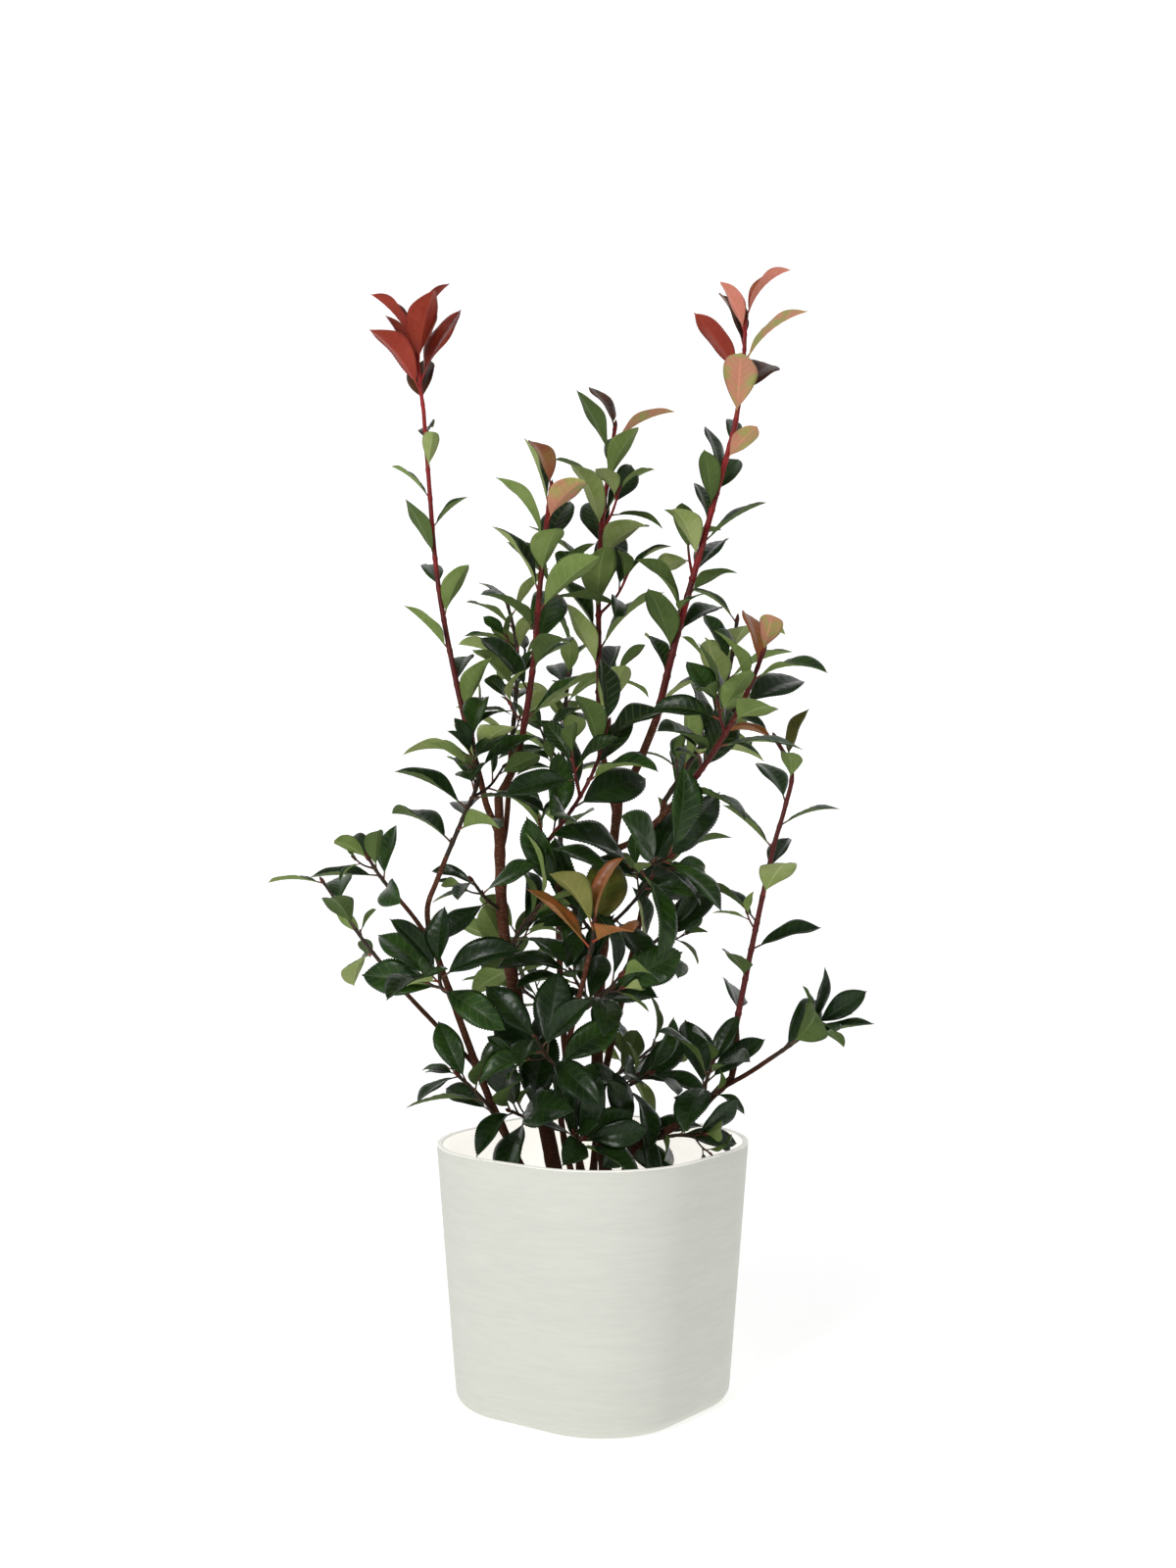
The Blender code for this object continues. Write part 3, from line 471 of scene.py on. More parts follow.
class Wire:
    """A node's output that takes part in sums."""

    __add__, __radd__ = summing("ADD"), summing("ADD", True)
    __sub__, __rsub__ = summing("SUBTRACT"), summing("SUBTRACT", True)
    __mul__, __rmul__ = summing("MULTIPLY"), summing("MULTIPLY", True)
    __truediv__, __rtruediv__ = summing("DIVIDE"), summing("DIVIDE", True)
    __pow__ = summing("POWER")

    def __init__(self, board, socket):
        self.board, self.socket = board, socket


def is_vector(value):
    return value.socket.type == "VECTOR" if isinstance(value, Wire) else not isinstance(value, (int, float))


class Board:
    """A node tree, with one method for any of its nodes and short ones for the commonest."""

    def __init__(self, tree):
        self.tree = tree

    def add(self, kind, settings=None, values=None, output=0):
        """A node of a kind, with its settings and then what goes into its sockets."""
        node = self.tree.nodes.new(kind)
        for name, value in (settings or {}).items():
            setattr(node, name, value)
        for name, value in (values or {}).items():
            self.feed(node.inputs[name], value)
        return Wire(self, node.outputs[output])

    def feed(self, socket, value):
        """Links a wire to a socket, or sets its value. Colours are opaque."""
        if isinstance(value, Wire):
            self.tree.links.new(value.socket, socket)
        else:
            socket.default_value = (*value, 1.0) if socket.type == "RGBA" else value

    def reckon(self, operation, *values):
        """A Math node, or a Vector Math node where a value is a vector."""
        vectors = [is_vector(value) for value in values]
        if operation == "MULTIPLY" and any(vectors) and not all(vectors):
            vector, number = values if vectors[0] else values[::-1]
            return self.add("ShaderNodeVectorMath", {"operation": "SCALE"},
                            {"Vector": vector, "Scale": number})
        kind = "ShaderNodeVectorMath" if any(vectors) else "ShaderNodeMath"
        return self.add(kind, {"operation": operation}, dict(enumerate(values)))

    def eased(self, value, low, high):
        """0 below low and 1 above high, with a smooth way between."""
        return self.add("ShaderNodeMapRange", {"interpolation_type": "SMOOTHSTEP"},
                        {"Value": value, "From Min": low, "From Max": high})

    def mix(self, share, first, second):
        """A colour between two others."""
        return self.add("ShaderNodeMix", {"data_type": "RGBA"}, {0: share, 6: first, 7: second}, 2)

    def noise(self, place, size, detail=3.0, roughness=0.5):
        return self.add("ShaderNodeTexNoise", {},
                        {"Vector": place, "Scale": 1 / size, "Detail": detail, "Roughness": roughness})

    def cells(self, place, scale):
        """How far a place lies from the middle of its cell."""
        return self.add("ShaderNodeTexVoronoi", {}, {"Vector": place, "Scale": scale})

    def stretched(self, place, *scale):
        return self.add("ShaderNodeMapping", {}, {"Vector": place, "Scale": scale})

    def height(self, vector):
        return self.add("ShaderNodeSeparateXYZ", {}, {0: vector}, "Z")

    def bump(self, height, distance, strength):
        return self.add("ShaderNodeBump", {}, {"Strength": strength, "Distance": distance, "Height": height})


# Geometry Nodes


def geometry_board(name, inputs):
    """A new Geometry Nodes tree with named inputs, and the wires that they arrive on."""
    tree = bpy.data.node_groups.new(name, "GeometryNodeTree")
    tree.interface.new_socket("Geometry", in_out="INPUT", socket_type="NodeSocketGeometry")
    for label, kind in inputs.items():
        tree.interface.new_socket(label, in_out="INPUT", socket_type="NodeSocket" + kind)
    tree.interface.new_socket("Geometry", in_out="OUTPUT", socket_type="NodeSocketGeometry")
    source = tree.nodes.new("NodeGroupInput")
    board = Board(tree)
    return board, {label: Wire(board, source.outputs[label]) for label in ("Geometry", *inputs)}


def attribute(board, name, kind="FLOAT"):
    return board.add("GeometryNodeInputNamedAttribute", {"data_type": kind}, {"Name": name})


def real_copies(board, points, form, values=None):
    """A helper object's mesh on every point, as real geometry."""
    form = board.add("GeometryNodeObjectInfo", {"transform_space": "ORIGINAL"}, {"Object": form}, "Geometry")
    copies = board.add("GeometryNodeInstanceOnPoints", {},
                       {"Points": points, "Instance": form, **(values or {})})
    return board.add("GeometryNodeRealizeInstances", {}, {0: copies})


def smoothed(board, geometry):
    return board.add("GeometryNodeSetShadeSmooth", {}, {0: geometry})


def in_material(board, geometry, material, chosen=True):
    return board.add("GeometryNodeSetMaterial", {}, {0: geometry, "Selection": chosen, "Material": material})


def end_board(board, geometry):
    """Ends a Geometry Nodes tree with its result."""
    target = board.tree.nodes.new("NodeGroupOutput")
    board.feed(target.inputs["Geometry"], geometry)
    return board.tree


def run_tree(tree, start, values):
    """The plain mesh that a tree makes from a start mesh and its named inputs."""
    carrier = placed(tree.name + "_start", start)
    step = carrier.modifiers.new("grow", "NODES")
    step.node_group = tree
    for item in tree.interface.items_tree:
        if item.in_out == "INPUT" and item.name in values:
            step[item.identifier] = values[item.name]
    graph = bpy.context.evaluated_depsgraph_get()
    made = bpy.data.meshes.new_from_object(carrier.evaluated_get(graph))
    carrier.modifiers.remove(step)
    bpy.data.objects.remove(carrier)
    return made


# Materials


def make_material(name, paint, *values):
    """A material whose look a paint function sets, on a board and from the object's coordinates."""
    material = bpy.data.materials.new(name)
    material.use_nodes = True
    board = Board(material.node_tree)
    shader = material.node_tree.nodes["Principled BSDF"]
    place = board.add("ShaderNodeTexCoord", {}, {}, "Object")
    for socket, value in paint(board, place, *values).items():
        board.feed(shader.inputs[socket], value)
    return material


def shade(colour, factor):
    """The same colour, lighter or darker."""
    return tuple(min(1.0, c * factor) for c in colour)


def between(one, other, share):
    """A colour part of the way from one to another."""
    return tuple(a + (b - a) * share for a, b in zip(one, other))


def leaf_paint(board, place, colour, blotch, vein, rough, wax):
    """A leaf's skin: soft blotches, side veins, a fine grain, and its coat of wax."""
    patch = board.eased(board.noise(place, 0.022, 4.0), 0.36, 0.66)
    grain = 0.6 * board.cells(place, 340.0) + board.noise(place, 0.0016)
    u, v = (board.add("ShaderNodeAttribute", {"attribute_name": name}, {}, "Fac") for name in ("u", "v"))
    aside = board.reckon("ABSOLUTE", v)
    rows = board.reckon("COSINE", (u - VEIN_SLANT * aside) * VEIN_TURNS)
    line = (1 - board.eased(rows, -1.0, -0.72)) * (1 - board.eased(aside, 0.72, 0.95))
    return {
        "Base Color": board.mix(line * 0.30, board.mix(patch, shade(colour, 0.92), blotch), vein),
        "Roughness": rough + 0.12 * (board.noise(place, 0.006) - 0.5) + 0.04 * grain,
        "Specular IOR Level": 0.08 + 0.5 * wax,
        "Coat Weight": wax,
        "Coat Roughness": 0.14,
        "Normal": board.bump(grain, 0.0006, 0.25 + wax),
    }


def rib_paint(board, place, colour):
    """A leaf stalk or midrib, a little streaked."""
    streak = board.noise(place, 0.003)
    return {
        "Base Color": board.mix(streak, shade(colour, 0.8), shade(colour, 1.2)),
        "Roughness": 0.42 + 0.1 * streak,
        "Specular IOR Level": 0.22,
    }


def bark_paint(board, place, old, young, lenticel):
    """Bark: upright streaks of two browns, pale lenticels and fine cracks, darker near the compost: partly
    wet bark, partly painted shade.
    """
    # Darker towards the compost: partly wet bark, partly painted shade at the foot of the stems
    damp = 1 - board.eased(board.height(place), 0.26, 0.50)
    streak = board.noise(board.stretched(place, 1.0, 1.0, 0.22), 0.004, 5.0, 0.6)
    patch = board.eased(board.noise(place, 0.030), 0.40, 0.62)
    spot = 1 - board.eased(board.cells(board.stretched(place, 0.55, 0.55, 2.4), 260.0), 0.16, 0.30)
    wood = board.mix(board.eased(streak, 0.30, 0.70), shade(old, 0.62), shade(old, 1.30))
    dotted = board.mix(spot * 0.55, board.mix(patch * 0.6, wood, young), lenticel)
    return {
        "Base Color": board.mix(damp * 0.7, dotted, shade(old, 0.22)),
        "Roughness": 0.74 + 0.16 * streak,
        "Specular IOR Level": 0.12,
        "Normal": board.bump(streak + 0.5 * spot, 0.0006, 0.8),
    }


def shoot_paint(board, place, sunny, shaded, lenticel):
    """A young shoot's smooth skin with pale lenticels, with painted light: the sunny colour higher up, the
    shaded colour lower down and in patches.
    """
    # Painted light and shade: the lower the shoot, the more it takes the shaded colour
    low = 1 - board.eased(board.height(place), 0.62, 1.02)
    patch = board.eased(board.noise(place, 0.020) + 0.5 * low, 0.34, 0.90)
    streak = board.noise(board.stretched(place, 1.0, 1.0, 0.2), 0.0022)
    spot = 1 - board.eased(board.cells(place, 420.0), 0.12, 0.24)
    return {
        "Base Color": board.mix(spot * 0.4, board.mix(patch, sunny, shaded), lenticel),
        "Roughness": 0.38 + 0.14 * streak,
        "Specular IOR Level": 0.20,
        "Normal": board.bump(streak + 0.4 * spot, 0.0003, 0.5),
    }


def planter_paint(board, place, colour, painted_glow):
    """Matt white plastic with fine level brush marks. Where a strength is given it emits light of its own
    colour: painted light on the inner wall and the lip's top, which are no lamps.
    """
    marks = board.noise(board.stretched(place, 0.10, 0.10, 1.0), 0.0032, 4.0, 0.62)
    bands = board.noise(board.stretched(place, 0.07, 0.07, 1.0), 0.016)
    grain = board.noise(place, 0.0009, 2.0)
    tone = board.eased(0.65 * marks + 0.35 * bands, 0.34, 0.66)
    return {
        "Base Color": board.mix(tone, shade(colour, 0.955), shade(colour, 1.02)),
        "Roughness": 0.52 + 0.12 * marks,
        "Specular IOR Level": 0.35,
        # Painted light: emission on the inner wall and the lip's top
        "Emission Color": colour,
        "Emission Strength": painted_glow,
        "Normal": board.bump(marks + 0.5 * bands + 0.15 * grain, 0.0010, 0.35),
    }


def compost_paint(board, place, dark, light, pale):
    """Crumbly compost: dark crumbs, lighter fibres and a few pale grains."""
    crumb = board.noise(place, 0.006, 6.0, 0.65)
    fine = board.noise(place, 0.0016, 4.0, 0.6)
    soil = board.mix(board.eased(crumb, 0.36, 0.66), dark, light)
    grain = 1 - board.eased(board.cells(place, 210.0), 0.06, 0.12)
    return {
        "Base Color": board.mix(grain * 0.6, soil, pale),
        "Roughness": 0.86 + 0.12 * fine,
        "Normal": board.bump(crumb + 0.6 * fine, 0.0028, 0.9),
    }


def chip_paint(board, place, dark, light):
    """Bark chips: streaked brown wood, drier in patches."""
    streak = board.noise(board.stretched(place, 1.0, 0.25, 1.0), 0.0022, 5.0)
    dry = board.eased(board.noise(place, 0.012), 0.40, 0.66)
    wood = board.mix(board.eased(streak, 0.32, 0.68), dark, light)
    return {
        "Base Color": board.mix(dry * 0.45, wood, shade(light, 1.5)),
        "Roughness": 0.78 + 0.16 * streak,
        "Normal": board.bump(streak, 0.0008, 0.8),
    }


def floor_paint(board, place, colour):
    """A pale matt floor."""
    return {
        "Base Color": board.mix(board.noise(place, 0.5), shade(colour, 0.99), colour),
        "Roughness": 0.9,
        "Specular IOR Level": 0.1,
        "Emission Color": colour,
        "Emission Strength": 0.45,
    }


# Sizes and colours that a user may change


def colour_prop(name, description, colour):
    """The property of a colour, whose default is given as the eye gives it."""
    return FloatVectorProperty(name=name, description=description, subtype="COLOR", size=3,
                               default=srgb(*colour))


def length_prop(name, description, default):
    return FloatProperty(name=name, description=description, default=default, unit="LENGTH",
                         subtype="DISTANCE")


def share_prop(name, description, default, most=1):
    return FloatProperty(name=name, description=description, default=default, min=0, max=most)


class LeafTint(bpy.types.PropertyGroup):
    """One colouring of the leaves."""

    upper: colour_prop("Upper side", "Colour of the upper side", (25, 51, 14))
    blotch: colour_prop("Blotches", "Colour of its blotches", (41, 69, 21))
    under: colour_prop("Underside", "Colour of the underside", (126, 144, 83))
    under_blotch: colour_prop("Blotches below", "Colour of the underside's blotches", (110, 130, 69))
    stalk: colour_prop("Stalk", "Colour of the stalk", (108, 60, 46))
    rough: share_prop("Roughness", "Roughness of the upper side", 0.3)
    wax: share_prop("Wax", "Coat of wax on the upper side", 0.16)


class LeafLooks(bpy.types.PropertyGroup):
    """Sizes of a leaf's relief."""

    stalk: length_prop("Stalk radius", "Radius of a full-grown leaf's stalk", 0.00095)
    thickness: length_prop("Half thickness", "Half the thickness of the blade", 0.00026)
    teeth: share_prop("Teeth", "Depth of the edge's teeth as a share of the half width", 0.07, 0.2)
    lean: share_prop("Lean of teeth", "How far the teeth point ahead, as a share of the length", 0.009, 0.05)
    veins: length_prop("Vein relief", "Height of the swelling between two side veins", 0.00042)
    wave: share_prop("Edge wave", "Height of the edge's wave as a share of the length", 0.018, 0.1)
    rib: length_prop("Midrib", "Height of the midrib on the underside", 0.0008)
    tints: CollectionProperty(type=LeafTint, name="Tints", description="The colourings that are dealt out")


class LimbLooks(bpy.types.PropertyGroup):
    """Relief and colours of stems and shoots."""

    trunk_sides: IntProperty(name="Stem sides", description="Sides of a stem all round", default=26, min=6)
    shoot_sides: IntProperty(name="Shoot sides", description="Sides of a shoot all round", default=12, min=5)
    relief: share_prop("Bark relief", "Height of the bark as a share of the radius", 0.26)
    relief_size: length_prop("Relief size", "Width of the bark's lumps", 0.006)
    bark: colour_prop("Bark", "Colour of old bark", (84, 50, 35))
    young_bark: colour_prop("Young bark", "Colour of thin bark", (88, 46, 35))
    # Each shoot colour has a shaded copy, for the painted shade on lower shoots
    crimson: colour_prop("Young shoots", "Colour of the newest shoots", (152, 32, 34))
    crimson_shade: colour_prop("Young shoots, shaded", "Their shaded colour", (84, 28, 25))
    brown: colour_prop("Older shoots", "Colour of last year's shoots", (72, 39, 29))
    brown_shade: colour_prop("Older shoots, shaded", "Their shaded colour", (48, 36, 25))
    bud: colour_prop("Buds", "Colour of the buds", (88, 40, 31))
    lenticel: colour_prop("Lenticels", "Colour of the bark's pores", (150, 124, 100))


class PlanterLooks(bpy.types.PropertyGroup):
    """Colour of the planter, and the painted light of its inner wall and lip: a lighter colour that emits
    light.
    """

    colour: colour_prop("Planter", "Colour of the planter", (208, 209, 200))
    # Painted light: the inner wall and the lip's top are painted lighter than the outside
    inside: colour_prop("Inside", "Colour of the inner wall", (250, 248, 242))
    # Painted light: the inner wall emits light, though it is no lamp
    painted_glow: share_prop("Glow inside", "Light that comes through the thin wall", 0.72)


class CompostLooks(bpy.types.PropertyGroup):
    """What fills the planter."""

    lumps: length_prop("Lumps", "Height of the compost's lumps", 0.0045)
    chips: IntProperty(name="Chips", description="Bark chips to a square metre", default=16000, min=0)
    chip_size: length_prop("Chip size", "Length of a middling chip", 0.0095)
    seed: IntProperty(name="Seed", description="Where the chips fall", default=7)
    dark: colour_prop("Compost", "Colour of damp compost", (38, 28, 22))
    light: colour_prop("Fibres", "Colour of dry fibres", (78, 58, 44))
    pale: colour_prop("Grains", "Colour of pale grains", (170, 160, 142))
    chip: colour_prop("Chip colour", "Colour of the bark chips", (104, 68, 46))


class StageLooks(bpy.types.PropertyGroup):
    """The studio round the plant."""

    floor: FloatVectorProperty(name="Floor", description="Colour of floor and backdrop",
                               subtype="COLOR", size=3, default=(0.94, 0.94, 0.94))
    world: share_prop("Sky", "Strength of the even light", 0.38, 10)
    key: FloatProperty(name="Key light", description="Power of the large lamp", default=32.5, min=0,
                       unit="POWER")
    fill: FloatProperty(name="Fill light", description="Power of the lamp on the other side",
                        default=7.0, min=0, unit="POWER")


# Paths


def through(points, step):
    """Evenly spaced points on a smooth curve through the given ones."""
    ends = [2 * points[0] - points[1], *points, 2 * points[-1] - points[-2]]
    dense = []
    for a, b, c, d in zip(ends, ends[1:], ends[2:], ends[3:]):
        for k in range(CURVE_STEPS):
            t = k / CURVE_STEPS
            dense.append(0.5 * (2 * b + (c - a) * t + (2 * a - 5 * b + 4 * c - d) * t * t
                                + (3 * b - a - 3 * c + d) * t ** 3))
    dense.append(points[-1].copy())
    runs = [(q - p).length for p, q in zip(dense, dense[1:])]
    total = sum(runs)
    count = max(2, round(total / step))
    spaced, gone, k = [dense[0]], 0.0, 0
    for n in range(1, count):
        goal = total * n / count
        while gone + runs[k] < goal:
            gone += runs[k]
            k += 1
        spaced.append(dense[k].lerp(dense[k + 1], (goal - gone) / runs[k]))
    return [*spaced, dense[-1]]


def length_of(spine):
    return sum((q - p).length for p, q in zip(spine, spine[1:]))


def place_on(spine, share):
    """The point at a share of the spine's length, and the spine's direction there."""
    goal = share * length_of(spine)
    for p, q in zip(spine, spine[1:]):
        run = (q - p).length
        if goal <= run + 1e-9:
            return p.lerp(q, goal / run), (q - p).normalized()
        goal -= run
    return spine[-1].copy(), (spine[-1] - spine[-2]).normalized()


def tangents(spine, first=None):
    """The direction at each point of the spine. The first may be given, where a cut has to lie flat."""
    runs = [(q - p).normalized() for p, q in zip(spine, spine[1:])]
    return [first or runs[0], *[(a + b).normalized() for a, b in zip(runs, runs[1:])], runs[-1]]


def distances(spine):
    """How far along the spine each of its points lies."""
    return list(accumulate(((q - p).length for p, q in zip(spine, spine[1:])), initial=0.0))


def bands(count, rings):
    """Faces between rings of so many points each."""
    return [(a + k, a + (k + 1) % count, a + (k + 1) % count + count, a + k + count)
            for a in range(0, (rings - 1) * count, count) for k in range(count)]


def stacked(rings):
    """Points and faces of a closed body through rings, from its first ring to its last."""
    points = [p for ring in rings for p in ring]
    count = len(rings[0])
    faces = [tuple(range(count)), tuple(range(len(points) - count, len(points)))]
    return points, faces + bands(count, len(rings))


def tube(spine, radii, sides, first=None):
    """Points and faces of a tapering tube with flat ends."""
    rings, side = [], None
    turns = [2 * math.pi * k / sides for k in range(sides)]
    for p, along, radius in zip(spine, tangents(spine, first), radii):
        side = side or along.orthogonal()
        side = (side - along * side.dot(along)).normalized()
        over = along.cross(side)
        rings.append([p + radius * (math.cos(turn) * side + math.sin(turn) * over) for turn in turns])
    return stacked(rings)


# The rule of growth, as in the solids


def spine_of(limb, forms, step):
    """The limb's middle line, and the direction of its first cut where that is given."""
    rest = [Vector(p) * MM for p in limb.route]
    if limb.parent is None:
        foot = Vector((limb.share[0] * MM, limb.share[1] * MM, SOIL_TOP + GAP))
        return through([foot, *rest], step), UP
    start, along = place_on(forms[limb.parent].spine, limb.share)
    if limb.share == 1.0:
        return through([start + GAP * along, *rest], step), along
    return through([start, *rest], step), None


def limb_radius(limb, gone, total):
    """The radius of a stem or bough at a distance from its foot, with its flare where it stands in soil."""
    radius = (limb.foot + (limb.tip - limb.foot) * gone / total) * MM / 2
    if limb.parent is None:
        radius *= 1 + FLARE * max(0.0, 1 - gone / FLARE_HEIGHT) ** 2
    return radius


def shoot_radius(mass, gone, total):
    """The radius of a leafy stem, which tapers to a fine tip."""
    return max(SHOOT_TIP_RADIUS, mass.foot * MM / 2 * (1 - SHOOT_TAPER * gone / total))


def radii_of(limb, spine, rule):
    total = length_of(spine)
    return [rule(limb, gone, total) for gone in distances(spine)]


def with_flare_ring(limb, spine):
    """A stem gets one more ring low down, so that its flare is short."""
    if limb.parent is not None:
        return spine
    low = place_on(spine, FLARE_RING_PLACE * FLARE_HEIGHT / length_of(spine))[0]
    return [spine[0], low, *spine[1:]]


Form = namedtuple("Form", "spine first radii sides")


def plan():
    """The spine, first cut, radii and sides of every stem, bough and mass, each after what it grows from."""
    forms = {}
    for limb in (*STEMS, *BOUGHS):
        spine, first = spine_of(limb, forms, LIMB_STEP)
        spine = with_flare_ring(limb, spine)
        sides = BOUGH_SIDES if limb.parent else STEM_SIDES
        forms[limb.name] = Form(spine, first, radii_of(limb, spine, limb_radius), sides)
    for mass in MASSES:
        spine, first = spine_of(mass, forms, SHOOT_STEP)
        forms[mass.name] = Form(spine, first, radii_of(mass, spine, shoot_radius), SHOOT_SIDES)
    return forms


def swollen(form):
    """The limb's tube grown by the gap all round and at both ends."""
    ahead, back = tangents(form.spine)[-1], tangents(form.spine, form.first)[0]
    longer = [form.spine[0] - back * GAP, *form.spine[1:-1], form.spine[-1] + ahead * GAP]
    return tube(longer, [r + TUBE_GAP for r in form.radii], form.sides, form.first)


Leaf = namedtuple("Leaf", "root along side normal length width bend fold twist")


def widest(powers):
    """What an edge with these powers reaches where it is widest."""
    low, high = powers
    peak = low / (low + high)
    return peak ** low * (1 - peak) ** high


def half_width(leaf, share):
    """Half the blade's width at a share of its length: a wedge at the foot, widest past the middle."""
    low, high = EDGE_POWERS
    return leaf.width / 2 * share ** low * (1 - share) ** high / widest(EDGE_POWERS)


def on_leaf(leaf, share):
    """The middle of the blade at a share of its length, with its direction, side and upper normal."""
    stalk = LEAF_STALK * leaf.length
    blade = leaf.length - stalk
    turn = max(leaf.bend, LEAST_BEND) * share
    reach = blade * share
    forward = reach * math.sin(turn) / turn if turn > LEAST_TURN else reach
    down = reach * (1 - math.cos(turn)) / turn if turn > LEAST_TURN else 0.0
    centre = leaf.root + leaf.along * (stalk + forward) - leaf.normal * down
    along = math.cos(turn) * leaf.along - math.sin(turn) * leaf.normal
    normal = math.cos(turn) * leaf.normal + math.sin(turn) * leaf.along
    turned = Matrix.Rotation(leaf.twist * share, 3, along)
    return centre, along, turned @ leaf.side, turned @ normal


def leaf_solid(leaf, sunk=LEAF_SUNK):
    """Points and faces of a folded blade on a three-sided stalk, from a sunk point, with a gap all round."""
    end, _, side, normal = on_leaf(leaf, 0.0)
    across, above = side * (STALK_HALF + LEAF_GAP), normal * (STALK_HALF + LEAF_GAP)
    points = [leaf.root - leaf.along * sunk, end - across + above, end + across + above, end - above]
    for share in LEAF_STATIONS:
        centre, _, side, normal = on_leaf(leaf, share)
        wide, thick = half_width(leaf, share) + LEAF_GAP, normal * (LEAF_HALF_THICKNESS + LEAF_GAP)
        raised, spread = normal * (wide * math.sin(leaf.fold)), side * (wide * math.cos(leaf.fold))
        points += [centre - spread + raised, centre + thick, centre + spread + raised, centre - thick]
    tip, along, _, _ = on_leaf(leaf, 1.0)
    points.append(tip + along * LEAF_GAP)
    faces = [(0, 1, 2), (0, 2, 3), (0, 3, 1)]
    faces += [(1, 2, 5), (1, 5, 4), (2, 6, 5), (1, 4, 7), (1, 7, 3), (2, 3, 7), (2, 7, 6)]
    for edge in (4, 6):
        for middle in (5, 7):
            faces += [(edge, middle, middle + 4), (edge, middle + 4, edge + 4)]
    faces += [(8 + k, 8 + (k + 1) % 4, 12) for k in range(4)]
    return points, faces


def outer_part(leaf):
    """The leaf from the far end of its stalk outwards."""
    return leaf_solid(leaf, -STALK_LEFT_OUT * LEAF_STALK * leaf.length)


def heading_out(along, turn, lean):
    """The direction that leaves a twig at an angle from its own, and the way out from the twig."""
    right = (RIGHT - along * RIGHT.dot(along)).normalized()
    out = math.cos(turn) * right + math.sin(turn) * along.cross(right)
    return math.cos(lean) * along + math.sin(lean) * out, out


def leaf_at(root, along, turn, spread, size, chance):
    """A leaf whose stalk leaves a twig at an angle from its direction."""
    heading, out = heading_out(along, turn, spread)
    normal = math.sin(spread) * along - math.cos(spread) * out
    normal = normal + chance["light"] * (UP - heading * UP.dot(heading))
    normal = (normal - heading * normal.dot(heading)).normalized()
    normal = Matrix.Rotation(math.radians(chance["roll"]), 3, heading) @ normal
    return Leaf(root, heading, heading.cross(normal), normal, size, size * LEAF_WIDTH * chance["width"],
                *(math.radians(chance[name]) for name in ("bend", "fold", "twist")))


def chances(dice):
    """What differs from leaf to leaf. Every leaf draws the same count of numbers."""
    return {name: dice.uniform(*ends) for name, ends in CHANCES.items()}


class Space:
    """What stands already, as closed shapes that a new leaf or twig has to stay clear of."""

    def __init__(self):
        self.taken = []

    def add(self, owner, points, faces):
        self.taken.append((owner, *shape_of(points, faces)))

    def clear(self, owner, points, faces):
        """True where the shape is above the compost and meets nothing but the owner's own stem."""
        if min(p.z for p in points) < SOIL_TOP + SOIL_CLEARANCE:
            return False
        shape = shape_of(points, faces)
        return not any(meets(shape, other) for name, *other in self.taken if owner is None or name != owner)


def shape_of(points, faces):
    """A solid's middle, its reach from there, and its surface for tests."""
    centre = sum(points, Vector()) / len(points)
    return centre, max((p - centre).length for p in points), BVHTree.FromPolygons(points, faces)


def meets(one, other):
    near = (one[0] - other[0]).length < one[1] + other[1]
    return near and bool(one[2].overlap(other[2]))


def place_leaf(space, mass, root, along, turn, spread, size, chance):
    """The first way to set the leaf that touches nothing, or None."""
    for more_turn, more_spread, shrink in LEAF_TRIES:
        leaf = leaf_at(root, along, turn + math.radians(more_turn + chance["turn"]),
                       spread + math.radians(more_spread + chance["spread"]),
                       size * shrink * chance["size"], chance)
        outer = outer_part(leaf)
        if space.clear(mass.name, *leaf_solid(leaf)) and space.clear(None, *outer):
            space.add(None, *outer)
            return leaf
    return None


def grown_at(share):
    """How large a leaf grows along the stem: largest a third of the way up, smallest at the tip."""
    return LEAF_SMALLEST + LEAF_GAIN * math.sin(math.pi * min(1.0, GAIN_START + share))


# A leaf with the mass it belongs to, how far up its shoot it grows, and whether it is on a side twig
Grown = namedtuple("Grown", "leaf mass share aside")
Twig = namedtuple("Twig", "spine radii mass")


def dress(space, mass, spine):
    """The mass's leaves and side twigs, worked out from its seed."""
    dice = random.Random(mass.seed)
    total = length_of(spine)
    bare = mass.bare * MM
    low, high = (math.radians(a) for a in mass.spread)
    leaves, twigs = [], []
    twig_places = {round((k + 1) * mass.leaves / (mass.twigs + TWIG_CROWDING)) for k in range(mass.twigs)}
    for n in range(mass.leaves):
        share = n / max(1, mass.leaves - 1)
        root, along = place_on(spine, (bare + (total - bare - SHOOT_END) * share ** LEAF_CROWDING) / total)
        turn = math.radians(mass.first) + n * TURN_PER_LEAF
        spread = low + (high - low) * share
        if n in twig_places:
            place_twig(space, mass, root, along, turn + TWIG_TURN, dice, leaves, twigs, share)
        size = mass.size * MM * grown_at(share)
        chance = chances(dice)
        if mass.name in YOUNG:
            chance["fold"] += YOUNG_FOLD * share ** 3
        found = place_leaf(space, mass, root, along, turn, spread, size, chance)
        if found:
            leaves.append(Grown(found, mass, share, False))
    return leaves, twigs


def twig_spine(root, heading, length, rise):
    """A twig of three points, which turns up a little."""
    return [root, root + heading * length / 2, root + (heading + rise * UP).normalized() * length]


